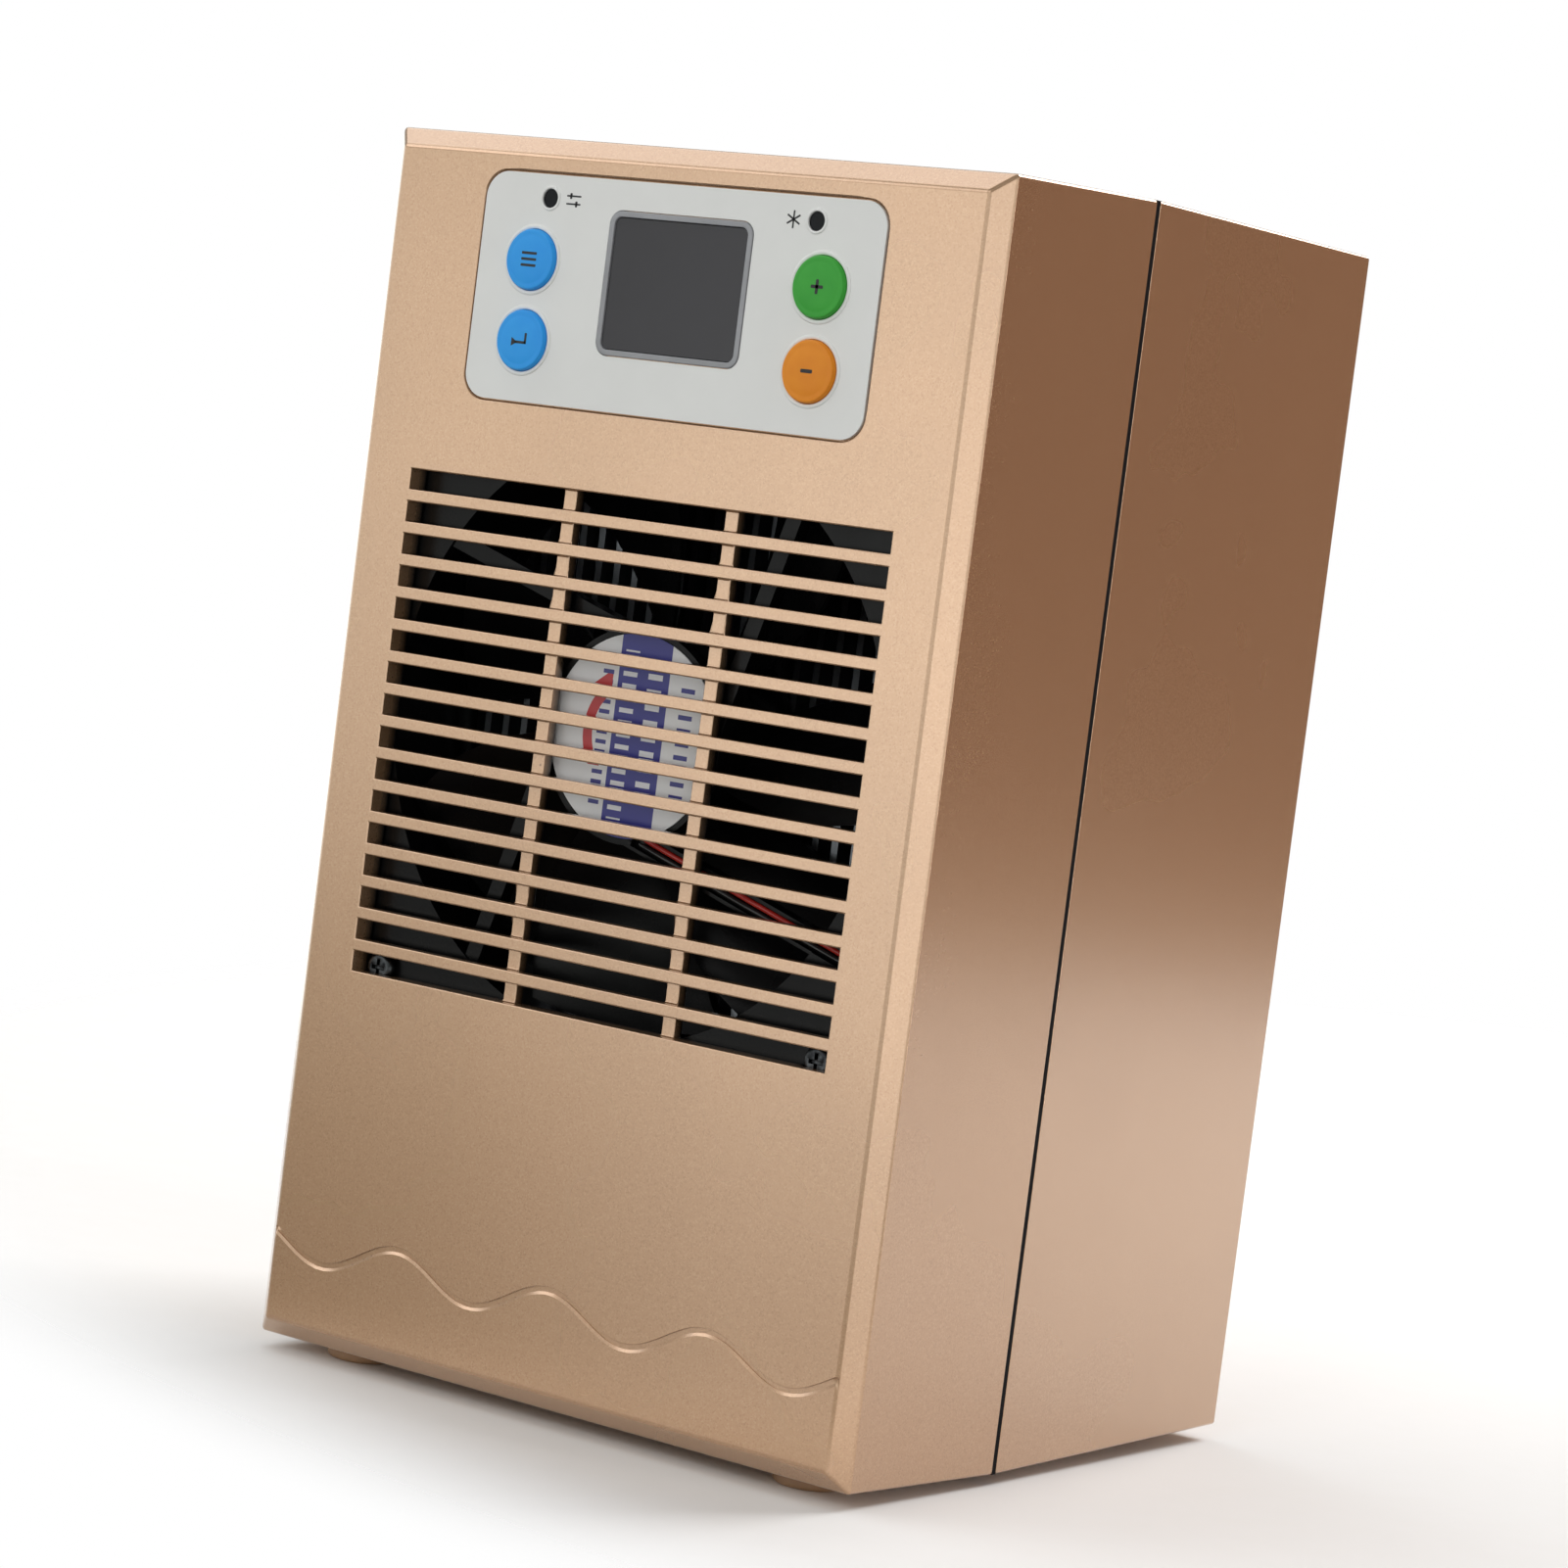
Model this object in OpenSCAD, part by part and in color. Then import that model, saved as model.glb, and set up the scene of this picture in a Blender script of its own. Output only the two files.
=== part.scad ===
// Thermoelectric aquarium chiller: a moulded two-part case with a louvred front,
// a control panel, a 120 mm fan, a finned sink, two cooling modules and a water block.
// Every module works in case coordinates: X from the middle of the width, Y from the
// front face towards the back, Z from the underside of the case.

/* [Case] */
// Room beside the fan on each side, out to the case's widest line
side_room = 12.5; // [11.5:0.1:20]
// Height of the fan's lower edge above the underside of the case
floor_room = 69.2; // [60:0.1:90]
// Distance from the fan's upper edge up to the top of the case
head_room = 50.8; // [44:0.1:60]
// Distance from the ends of the inner hoses to the back face
back_room = 29.9; // [24:0.1:45]
// Distance of the seam behind the front face
seam_y = 49.8; // [46:0.1:52]
// Thickness of the black gasket in the seam
seam_w = 1; // [0.6:0.1:1.4]
// Thickness of the case walls
wall = 2.5; // [2:0.1:3]
// Inward taper of each side from the seam to the front or back edge
draft = 1.1; // [0.4:0.1:1.6]
// Width of the bevel around the front face
front_bevel = 3.5; // [2:0.1:4]
// Height of the locating lip inside the seam
lip_h = 3; // [2:0.1:4]
// Thickness of the locating lip
lip_t = 1.2; // [1:0.1:1.4]

/* [Front grille] */
// Distance from the fan's side to the side of the grille opening
grille_side = 3.4; // [2:0.1:8]
// Drop from the fan's upper edge to the grille opening
grille_drop = 15.7; // [12:0.1:20]
// Rise from the fan's lower edge to the grille opening
grille_rise = 6.35; // [4:0.05:12]
// Number of slot rows
grille_rows = 16; // [12:1:18]
// Share of the distance between two slots that is open
slot_share = 0.622; // [0.5:0.001:0.7]
// Depth of the grille box behind the front face
grille_depth = 5; // [4.5:0.1:6]
// Width of the upright bars behind the slots
mullion_w = 3; // [2:0.1:4]
// Distance of each upright bar from the middle
mullion_x = 19; // [16:0.5:22]

/* [Wave groove] */
// Mean height of the wave groove
wave_z = 20.9; // [18:0.1:26]
// Height of one swing of the wave
wave_swing = 3.4; // [2:0.1:5]
// Length of one wave
wave_length = 37.4; // [30:0.1:45]
// Width of the groove
wave_w = 1; // [0.6:0.1:1.6]
// Depth of the groove
wave_depth = 0.8; // [0.4:0.1:1.2]

/* [Control panel] */
// Width of the light panel plate
panel_w = 93.2; // [92:0.1:98]
// Distance from the top of the case to the panel's top edge
panel_drop = 8.1; // [7:0.1:9]
// Sideways place of the panel's middle
panel_x = 0.6; // [0:0.1:1]
// Corner radius of the panel plate
panel_r = 5; // [3:0.1:7]
// Thickness of the panel plate
panel_t = 1; // [0.8:0.1:1.2]
// Width of the grey display frame
display_w = 33.2; // [32:0.1:36]
// Share of the panel's height that the display frame takes
display_h_share = 0.625; // [0.55:0.005:0.66]
// Width of the flat border of the display frame
display_border = 1.1; // [0.8:0.1:1.6]
// Drop from the panel's top edge to the display frame
display_drop = 5.7; // [5:0.1:7]
// Share of the panel's height that a key cap's diameter takes
key_share = 0.2685; // [0.24:0.0005:0.275]
// Distance of the key columns from the sides of the panel
key_side = 13; // [12:0.1:14]
// Drop from the panel's top edge to the upper keys, as a share of its height
key_drop_share = 0.3773; // [0.36:0.0001:0.4]
// Distance from the upper to the lower keys, as a share of its height
key_pitch_share = 0.3542; // [0.34:0.0001:0.38]
// Height of a key cap above the case front
key_proud = 1.2; // [0.8:0.1:1.6]
// Travel of a key
key_travel = 0.5; // [0.3:0.05:0.6]
// Distance of the indicator lamps from the sides of the panel
lamp_side = 15.6; // [14:0.1:17]
// Drop from the panel's top edge to the indicator lamps
lamp_drop = 4.5; // [4:0.1:5]
// Diameter of an indicator lamp window
lamp_d = 3.8; // [3.2:0.1:4]

/* [Fan] */
// Width and height of the fan frame
fan_size = 120; // [100:0.5:140]
// Depth of the fan frame
fan_d = 25; // [24:0.5:27]
// Distance of the fan screws from the sides of the fan
fan_edge = 7.5; // [7:0.1:8]
// Distance from the side of the fan to its duct
duct_edge = 2.5; // [2:0.1:4]
// Diameter of the fan hub
hub_d = 41; // [38:0.5:46]
// Number of blades
blade_count = 7; // [5:1:9]
// Angle that a blade covers around the hub
blade_sweep = 42; // [36:1:44]
// Thickness of a blade
blade_t = 1.4; // [1.2:0.1:1.8]
// Width of a fan strut
strut_w = 3.3; // [2.5:0.1:4]
// Angle by which a strut leans from the radius
strut_lean = 16.4; // [10:0.1:20]
// Diameter of the fan shaft
shaft_d = 3; // [2.5:0.1:3.5]
// Diameter of the round label on the hub
label_d = 38.5; // [34:0.5:39]

/* [Cooling unit] */
// Distance that the sink stays back from the fan's upper and lower edges
sink_drop = 2; // [0:0.5:4]
// Depth of the fins
fin_d = 28; // [24:1:32]
// Thickness of the sink's base plate
sink_base_t = 7; // [5:0.5:9]
// Thickness of one fin
fin_t = 1.5; // [1:0.1:2]
// Number of fins
fin_count = 27; // [21:1:29]
// Side of a square cooling module
module_size = 40; // [38:1:42]
// Thickness of a cooling module
module_t = 3.8; // [3.2:0.1:4.2]
// Reach of the water block past the cooling modules on each side
block_side = 10; // [8:0.5:13]
// Reach of the water block past the cooling modules above and below
block_end = 6; // [4:0.5:8]
// Thickness of the water block
block_t = 14; // [12:0.5:16]

/* [Water fittings] */
// Outer diameter of a hose spigot
spigot_d = 12; // [11:0.1:12.5]
// Bore of a hose spigot
spigot_bore = 8; // [7.5:0.1:8.2]
// Length of a spigot outside the back
spigot_out = 22; // [18:0.5:28]
// Distance of each spigot from the middle
spigot_x = 18; // [16:0.5:20]
// Height of the spigots
spigot_z = 38; // [34:0.5:42]
// Outer diameter of the inner hoses
hose_d = 12; // [11:0.1:12.5]

/* [Back] */
// Distance from the fan's side to the side of the rear grille
rear_grille_side = 14; // [12:0.5:20]
// Number of rear slot rows
rear_rows = 12; // [8:1:14]
// Distance of the power inlet and the switch from the sides of the case
inlet_side = 26.5; // [24:0.5:27]
// Height of the power inlet
inlet_z = 30; // [28:0.5:32]
// Distance from the power inlet up to the sensor socket
socket_rise = 18; // [16:0.5:20]
// Height of the power switch
switch_z = 38; // [36:0.5:40]
// Tilt of the rocker on each side of its middle
rocker_tilt = 9; // [6:0.5:10]

/* [Feet] */
// Diameter of a foot
foot_d = 14; // [10:0.5:16]
// Height of a foot
foot_h = 2; // [1.5:0.1:3]
// Distance of each foot from the sides of the case
foot_side = 17.9; // [12:0.1:22]
// Distance of the feet from the front and back faces
foot_inset = 15.1; // [12:0.1:20]

/* [Hidden] */
$fn = 64;

// How far a cut runs past the solid it cuts
cut = 0.5;
// Gap between pieces that slide in or over each other
slide_gap = 0.3;
// Gap between fixed pieces that slip together
fit_gap = 0.15;
// Radial gap of the shaft and pivots
running_gap = 0.05;

// Depths, from the grille back through the fan, sink, modules and block to the hoses
fan_y = grille_depth + fit_gap;
sink_y = fan_y + fan_d + fit_gap;
sink_base_y = sink_y + fin_d;
sink_back_y = sink_base_y + sink_base_t;
block_y = sink_back_y + module_t;
block_back_y = block_y + block_t;
barb_y = block_y + block_t / 2;
hose_bend_r = 22;
hose_straight = 6;
hose_end_y = barb_y + hose_bend_r + hose_straight;

// Case: made around the fan and the cooling unit
body_w = fan_size + 2 * side_room;
body_h = floor_room + fan_size + head_room;
body_d = hose_end_y + back_room;
fan_z = floor_room + fan_size / 2;
front_y = seam_y - seam_w / 2;
rear_y = seam_y + seam_w / 2;
front_w = body_w - 2 * draft;
front_h = body_h - 2 * draft;
total_d = key_proud + body_d + spigot_out;
case_front = key_proud - total_d / 2;
gasket_inset = 0.2;
foot_x = body_w / 2 - foot_side;

// Case screws and their posts
post_d = 8.5;
post_x = body_w / 2 - wall - draft - post_d / 2;
post_low_z = wall + draft + post_d / 2;
post_high_z = body_h - post_low_z;
screw_d = 3;
pilot_depth = 14;
screw_head_d = 5.6;
screw_head_h = 2;
screw_hole_d = 3.4;
counterbore_d = 6.4;
ledge_t = 3.5;
pilot_d = screw_d + 2 * fit_gap;
pilot_spare = 2;
screw_l = ledge_t + pilot_depth - pilot_spare;

// Grille: derived places
grille_w = fan_size - 2 * grille_side;
grille_top = floor_room + fan_size - grille_drop;
slots_h = fan_size - grille_drop - grille_rise;
grille_bottom = grille_top - slots_h;
grille_pitch = slots_h / (grille_rows - 1 + slot_share);
slot_h = slot_share * grille_pitch;
grille_rim = 2.2;
rear_grille_w = fan_size - 2 * rear_grille_side;
rear_slots_h = (rear_rows - 1) * grille_pitch + slot_h;
rear_grille_bottom = grille_top - rear_slots_h;
rib_t = 1.6;
rib_d = 5;

// Wave groove: sampling and crest place
wave_steps = 72;
wave_crest_x = 0.7;
wave_half = front_w / 2 - front_bevel;

// Panel: derived places
panel_lap = 0.5;
panel_top = body_h - panel_drop;
panel_h = head_room - panel_drop + panel_lap;
panel_z = panel_top - panel_h / 2;
display_h = display_h_share * panel_h;
key_d = key_share * panel_h;
key_drop = key_drop_share * panel_h;
key_pitch = key_pitch_share * panel_h;
recess_gap = 0.4;
display_shift = 0.6;
display_x = panel_x + display_shift;
display_z = panel_top - display_drop - display_h / 2;
display_r = 2.6;
window_w = display_w - 2 * display_border;
window_h = display_h - 2 * display_border;
window_r = display_r - display_border;
window_t = 0.8;
frame_proud = 0.2;
key_z = panel_top - key_drop;
lamp_z = panel_top - lamp_drop;
key_x = panel_w / 2 - key_side;
lamp_x = panel_w / 2 - lamp_side;
key_flange = 1;
key_flange_t = 1;
key_flange_d = key_d + 2 * key_flange;
key_rim_proud = 0.5;
key_stop_gap = 0.1;
key_back_y = wall + key_stop_gap + key_flange_t;

// Control board
board_side = 1.6;
board_top = 2.1;
board_w = panel_w - 2 * board_side;
board_h = panel_h - 2 * board_top;
board_t = 1.6;
board_edge = 3;
board_rise = 0.6;
plunger_d = 3.5;
plunger_l = 1.5;
switch_size = 6;
switch_h = 3.5;
board_y = key_back_y + plunger_l + switch_h;
board_z = panel_z + board_rise;
board_screw_x = board_w / 2 - board_edge;
board_screw_z = board_h / 2 - board_edge;
boss_d = 5;
board_screw_d = 2;
board_screw_l = 6;
chip_w = 12;
chip_t = 1.8;
capacitor_d = 8;
capacitor_l = 11;
capacitor_pitch = 10;
connector_w = 9;
connector_d = 7;
connector_h = 6;
connector_pitch = 12;
connector_wall = 0.8;
lamp_body_d = 3;

// Fan: derived places
fan_screw_pitch = fan_size - 2 * fan_edge;
duct_d = fan_size - 2 * duct_edge;
fan_corner_r = 5;
flange_t = 4;
duct_wall = 2.4;
fan_hole_d = 4.4;
strut_t = 3.2;
strut_set_back = 0.4;
hub_plate_t = 2.4;
hub_plate_y = fan_y + strut_set_back;
hub_gap = 0.8;
rotor_y = hub_plate_y + hub_plate_t + hub_gap;
rotor_l = fan_d - (rotor_y - fan_y) - hub_gap;
hub_wall = 1.6;
tip_gap = 1.2;
tip_r = duct_d / 2 - tip_gap;
root_r = hub_d / 2 - hub_wall / 2;
blade_inset = 1.2;
tower_d = 11;
bearing_wall = 1.5;
bearing_d = shaft_d + 2 * running_gap + 2 * bearing_wall;
bearing_l = 13;
magnet_t = 2;
rotor_rim = 1;
rotor_end_t = 1.8;
shaft_end_gap = 0.4;
strut_offset = hub_d / 2 - strut_w / 2 - rotor_rim;
lead_strut_w = 4.4;
channel_w = 3;
channel_depth = 1.5;
stator_d = 31;
stator_l = 7;
yoke_t = 2;
pole_count = 4;
pole_w = 4;
shoe_w = 16;
shoe_t = 2.4;
coil_t = 1.6;
coil_lap = 1;
coil_gap = 0.2;
stator_y = rotor_y + coil_lap + yoke_t;
label_t = 0.2;
fan_screw_d = 3.8;
fan_screw_head_d = 7.6;
fan_screw_head_h = 2.2;
fan_thread_l = 6;

// Cooling unit: derived places
sink_w = fan_size;
sink_h = fan_size - 2 * sink_drop;
module_gap = 4;
block_w = module_size + 2 * block_side;
block_h = 2 * module_size + module_gap + 2 * block_end;
foam_t = 6;
barb_out = 14;
barb_d = spigot_bore - 2 * fit_gap;
channel_d = 5;
clamp_reach = 16;
clamp_w = block_w + 2 * clamp_reach;
clamp_h = 18;
clamp_t = 2;
clamp_screw_d = 4;
clamp_screw_x = clamp_w / 2 - clamp_screw_d * 3 / 2;
hose_bore = spigot_bore;
block_bottom = fan_z - block_h / 2;
sink_edge = 7;
sink_post_x = sink_w / 2 - sink_edge;
sink_post_z = sink_h / 2 - sink_edge;

// Water fittings
spigot_flange_d = 20;
spigot_flange_t = 2.5;
seal_t = 1;
nut_w = 19;
nut_t = 5;
thread_d = 14;
lead_in = 1;

// Rear inlets
inlet_x = body_w / 2 - inlet_side;
inlet_d = 10.8;
inlet_bore = 6.2;
inlet_pin_d = 2;
inlet_flange_d = 13;
inlet_flange_t = 1.8;
inlet_l = 12;
inlet_nut_d = 12.8;
inlet_nut_t = 2.4;
socket_d = 5.8;
socket_bore = 3.6;
socket_flange_d = 8;
socket_flange_t = 1.6;
socket_l = 14;
socket_bore_l = 13;
socket_nut_d = 8.4;
socket_nut_t = 2;

// Power switch
switch_x = inlet_x;
switch_w = 15;
switch_hgt = 21;
switch_rim_t = 2;
switch_body_w = 12.6;
switch_body_h = 18.8;
switch_body_l = 13;
rocker_w = 9.6;
rocker_h = 15.4;
rocker_deep = 3.6;
pivot_d = 2;
pivot_l = 1;
terminal_w = 4.8;
terminal_t = 0.8;
terminal_l = 8;
terminal_pitch = 7;

// Fan leads: from the hub along a strut, out past the fan, up beside it and over to the board
lead_d = 1.2;
lead_sides = 8;
lead_start_x = 4;
lead_spread = 1.4;
lead_y = fan_y + hub_plate_t / 2;
lead_strut_steps = 5;
lead_rise_steps = 6;
lead_bend_steps = 8;
lead_swing_y = 5.1;
lead_swing_power = 2.2;
lead_top_gap = 4.7;
red_side_share = 0.352;
black_side_share = 0.512;
red_corner = [[-1.6, 0.3, 0.9], [-0.3, 0.7, 3.4]];
black_corner = [[-2.6, 0.2, -0.1], [-0.7, 0.5, 2.2]];
lead_rise = 6.8;
lead_out = 0.6;
plug_spread_x = 1.3;
plug_spread_z = 1;
plug_deep = 3.8;
plug_x = board_w / 2 - connector_pitch + connector_w / 2;
plug_y = board_y + board_t + plug_deep;
plug_z = board_z - board_h / 4 + connector_h / 2;
function strut_line(x) = fan_z - strut_offset - x * tan(strut_lean);
function bezier(a, b, c, d, t) =
    pow(1 - t, 3) * a + 3 * pow(1 - t, 2) * t * b + 3 * (1 - t) * t * t * c + pow(t, 3) * d;

// One lead's route: side is 1 for the upper lead and -1 for the lower one
function lead_route(side, side_share, corner, reach_up, reach_back) =
    let (
        strut_end = fan_size / 2 - 2 * lead_d,
        out_x = fan_size / 2 + lead_out,
        out_z = strut_line(out_x) + side * lead_spread / 2,
        rise_x = fan_size / 2 + side_room * side_share,
        rise_z = out_z + lead_rise,
        top_z = panel_z - panel_h / 2 - lead_top_gap,
        top = [rise_x, lead_y + lead_swing_y + lead_d, top_z],
        plug = [plug_x + side * plug_spread_x, plug_y, plug_z + side * plug_spread_z]
    )
    concat(
        [for (i = [0:lead_strut_steps])
            let (x = lead_start_x + (strut_end - lead_start_x) * i / lead_strut_steps)
            [x, lead_y, strut_line(x) + side * lead_spread / 2]],
        [[out_x, lead_y, out_z]],
        [for (p = corner) [rise_x, lead_y, out_z] + p],
        [for (i = [0:lead_rise_steps - 1])
            let (share = i / lead_rise_steps)
            [
                rise_x,
                lead_y + lead_d + lead_swing_y * pow(share, lead_swing_power),
                rise_z + (top_z - rise_z) * share
            ]],
        [for (i = [0:lead_bend_steps])
            bezier(top, top + reach_up, plug + reach_back, plug, i / lead_bend_steps)]
    );
red_reach_up = [0, 4, 16];
red_reach_back = [0, 14, 0];
black_reach_up = [0, 5, 17];
black_reach_back = [0, 17, 0];
red_route = lead_route(1, red_side_share, red_corner, red_reach_up, red_reach_back);
black_route = lead_route(-1, black_side_share, black_corner, black_reach_up, black_reach_back);

module in_case() {
    translate([0, case_front, foot_h]) children();
}

// A solid that is drawn in X and Z and grows towards the back
module to_back(y, depth) {
    translate([0, y + depth, 0]) rotate([90, 0, 0]) linear_extrude(depth) children();
}

// A cylinder along Y
module rod(x, y, z, d, l) {
    translate([x, y, z]) rotate([-90, 0, 0]) cylinder(d = d, h = l);
}

module rounded(w, h, r) {
    union() {
        square([w - 2 * r, h], center = true);
        square([w, h - 2 * r], center = true);
        for (x = [-1, 1], z = [-1, 1]) translate([x * (w / 2 - r), z * (h / 2 - r)]) circle(r);
    }
}

module at_corners(x, z) {
    for (side = [-1, 1], level = [-1, 1]) translate([side * x, 0, level * z]) children();
}

// Half outline of the front half, seen from the side: bevel, then taper out to the seam
function front_outline(half, inset, y_end) = [
    [half - inset, y_end],
    [half - draft * (seam_y - front_bevel) / seam_y - inset, front_bevel + inset * tan(22.5)],
    [half - draft - front_bevel - inset * tan(22.5), inset],
];

function rear_outline(half, inset, y_start) = [
    [half - inset, y_start],
    [half - draft - inset, body_d - inset]
];

function mirrored(points) = concat(
    points,
    [for (i = [len(points) - 1:-1:0]) [-points[i][0], points[i][1]]]
);

// A tapered block: the plan outline and the side outline cut out of each other
module drafted(plan, side) {
    intersection() {
        translate([0, 0, -cut]) linear_extrude(body_h + 2 * cut) polygon(plan);
        translate([-body_w / 2 - cut, 0, body_h / 2])
            rotate([90, 0, 90]) linear_extrude(body_w + 2 * cut)
                polygon([for (p = side) [p[1], p[0]]]);
    }
}

module front_block(inset, y_end) {
    drafted(
        mirrored(front_outline(body_w / 2, inset, y_end)),
        mirrored(front_outline(body_h / 2, inset, y_end))
    );
}

module rear_block(inset, y_start) {
    drafted(
        mirrored(rear_outline(body_w / 2, inset, y_start)),
        mirrored(rear_outline(body_h / 2, inset, y_start))
    );
}

// Slots of a grille, cut through a wall
module grille_slots(w, top, rows, y, depth) {
    for (i = [0:rows - 1])
        translate([-w / 2, y, top - slot_h - i * grille_pitch]) cube([w, depth, slot_h]);
}

// Points of the wave groove, out along its lower edge and back along its upper edge
function wave_height(x) = wave_z + wave_swing * cos(360 * (x - wave_crest_x) / wave_length);
function wave_slope(x) =
    -wave_swing * 2 * PI / wave_length * sin(360 * (x - wave_crest_x) / wave_length);
function wave_half_w(x) = wave_w / 2 * sqrt(1 + pow(wave_slope(x), 2));
function wave_x(i) = -wave_half + 2 * wave_half * i / wave_steps;

module wave_groove() {
    to_back(-cut, wave_depth + cut) polygon(concat(
        [for (i = [0:wave_steps]) [wave_x(i), wave_height(wave_x(i)) - wave_half_w(wave_x(i))]],
        [for (i = [wave_steps:-1:0]) [wave_x(i), wave_height(wave_x(i)) + wave_half_w(wave_x(i))]]
    ));
}

module front_shell() {
    color("#c9a98a") in_case() difference() {
        union() {
            difference() {
                front_block(0, front_y);
                front_block(wall, front_y + cut);
            }
            grille_box();
            for (x = [-post_x, post_x], z = [post_low_z, post_high_z])
                rod(x, wall - cut, z, post_d, front_y - wall + cut);
            board_bosses();
        }
        grille_slots(grille_w, grille_top, grille_rows, -cut, wall + cut);
        wave_groove();
        translate([panel_x, 0, panel_z]) to_back(-cut, panel_t + cut)
            rounded(panel_w + 2 * recess_gap, panel_h + 2 * recess_gap, panel_r + recess_gap);
        translate([display_x, 0, display_z]) to_back(0, wall + cut)
            rounded(display_w - 2 * display_border, display_h - 2 * display_border, window_r);
        for (x = [-key_x, key_x], z = [key_z, key_z - key_pitch])
            rod(panel_x + x, 0, z, key_d + 2 * slide_gap, 2 * wall);
        for (x = [-lamp_x, lamp_x]) rod(panel_x + x, 0, lamp_z, lamp_d, 2 * wall);
        for (x = [-post_x, post_x], z = [post_low_z, post_high_z])
            rod(x, front_y - pilot_depth, z, pilot_d, pilot_depth + cut);
        translate([0, 0, board_z]) at_corners(board_screw_x, board_screw_z)
            rod(0, wall, 0, board_screw_d + 2 * fit_gap, board_y);
        translate([0, 0, fan_z]) at_corners(fan_screw_pitch / 2, fan_screw_pitch / 2)
            rod(0, fan_y - fan_screw_head_h - slide_gap, 0, fan_screw_head_d + 2 * slide_gap, fan_d);
    }
}

// Rim and uprights behind the slots
module grille_box() {
    difference() {
        translate([-grille_w / 2 - grille_rim, wall - cut, grille_bottom - grille_rim])
            cube([
                grille_w + 2 * grille_rim,
                grille_depth - wall + cut,
                slots_h + 2 * grille_rim
            ]);
        translate([-grille_w / 2, 0, grille_bottom])
            cube([grille_w, grille_depth + cut, slots_h]);
    }
    for (x = [-mullion_x, mullion_x])
        translate([x - mullion_w / 2, wall - cut / 2, grille_bottom - grille_rim])
            cube([mullion_w, grille_depth - wall + cut / 2, slots_h + 2 * grille_rim]);
}

module board_bosses() {
    translate([0, 0, board_z]) at_corners(board_screw_x, board_screw_z)
        rod(0, wall - cut, 0, boss_d, board_y - wall + cut);
}

module rear_shell() {
    color("#b9967a") in_case() difference() {
        union() {
            difference() {
                rear_block(0, rear_y);
                rear_block(wall, rear_y - cut);
            }
            seam_lip();
            for (x = [-post_x, post_x], z = [post_low_z, post_high_z])
                rod(x, front_y, z, post_d, body_d - wall / 2 - front_y);
            translate([0, 0, fan_z]) at_corners(sink_post_x, sink_post_z)
                rod(0, sink_back_y, 0, post_d, body_d - wall / 2 - sink_back_y);
            stiffening_ribs();
        }
        grille_slots(rear_grille_w, grille_top, rear_rows, body_d - wall - cut, wall + 2 * cut);
        for (x = [-post_x, post_x], z = [post_low_z, post_high_z]) {
            rod(x, front_y - cut, z, screw_hole_d, ledge_t + 2 * cut);
            rod(x, front_y + ledge_t, z, counterbore_d, body_d);
        }
        translate([0, 0, fan_z]) at_corners(sink_post_x, sink_post_z) {
            rod(0, sink_back_y - cut, 0, screw_hole_d, ledge_t + 2 * cut);
            rod(0, sink_back_y + ledge_t, 0, counterbore_d, body_d);
        }
        for (x = [-spigot_x, spigot_x])
            rod(x, body_d - wall - cut, spigot_z, thread_d + 2 * fit_gap, wall + 2 * cut);
        rod(inlet_x, body_d - wall - cut, inlet_z, inlet_d + 2 * fit_gap, wall + 2 * cut);
        rod(inlet_x, body_d - wall - cut, inlet_z + socket_rise, socket_d + 2 * fit_gap, wall + 2 * cut);
        translate([
            -switch_x - switch_body_w / 2 - fit_gap,
            body_d - wall - cut,
            switch_z - switch_body_h / 2 - fit_gap
        ]) cube([switch_body_w + 2 * fit_gap, wall + 2 * cut, switch_body_h + 2 * fit_gap]);
    }
}

// A slab across the case, drawn in from its outline at the seam
module band(inset, y, depth) {
    translate([-body_w / 2 + inset, y, inset])
        cube([body_w - 2 * inset, depth, body_h - 2 * inset]);
}

// Lip that reaches over the seam into the front half, on a root inside the rear half
module seam_lip() {
    lip_y = front_y - lip_h;
    lip_inset = wall + slide_gap;
    difference() {
        union() {
            band(lip_inset, lip_y, lip_h + seam_w + cut);
            band(wall - cut, rear_y, lip_h);
        }
        band(lip_inset + lip_t, lip_y - cut, 3 * lip_h);
        for (x = [-post_x, post_x], z = [post_low_z, post_high_z])
            rod(x, lip_y - cut, z, post_d + 2 * slide_gap, lip_h + cut);
    }
}

// Upright and level ribs on the inside of the back wall
module stiffening_ribs() {
    rib_y = body_d - wall / 2 - rib_d;
    for (x = [-mullion_x, mullion_x])
        translate([x - mullion_w / 2, rib_y, rear_grille_bottom - rib_d])
            cube([mullion_w, rib_d, rear_slots_h + 2 * rib_d]);
    for (z = [rear_grille_bottom - rib_d, grille_top + rib_d - rib_t])
        translate([-rear_grille_w / 2, rib_y, z]) cube([rear_grille_w, rib_d, rib_t]);
}

module seam_gasket() {
    color("#1b1b1c") in_case() difference() {
        band(gasket_inset, front_y, seam_w);
        band(wall, front_y - cut, seam_w + 2 * cut);
    }
}

// Feet with a rounded lower edge, cut to the slope of the underside
module feet() {
    step = foot_h / 2;
    color("#b08f70") in_case()
        for (x = [-foot_x, foot_x], y = [foot_inset, body_d - foot_inset]) difference() {
            translate([x, y, -foot_h]) rotate_extrude() polygon(concat(
                [[0, 0]],
                [for (a = [-90:15:0]) [foot_d / 2 - step + step * cos(a), step + step * sin(a)]],
                [[foot_d / 2, foot_h + draft], [0, foot_h + draft]]
            ));
            front_block(0, front_y);
            rear_block(0, rear_y);
        }
}

module case_screws() {
    color("#b9bbbe") in_case()
        for (x = [-post_x, post_x], z = [post_low_z, post_high_z])
            translate([x, front_y + ledge_t, z]) screw(screw_l, screw_d, screw_head_d, screw_head_h);
}

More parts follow.
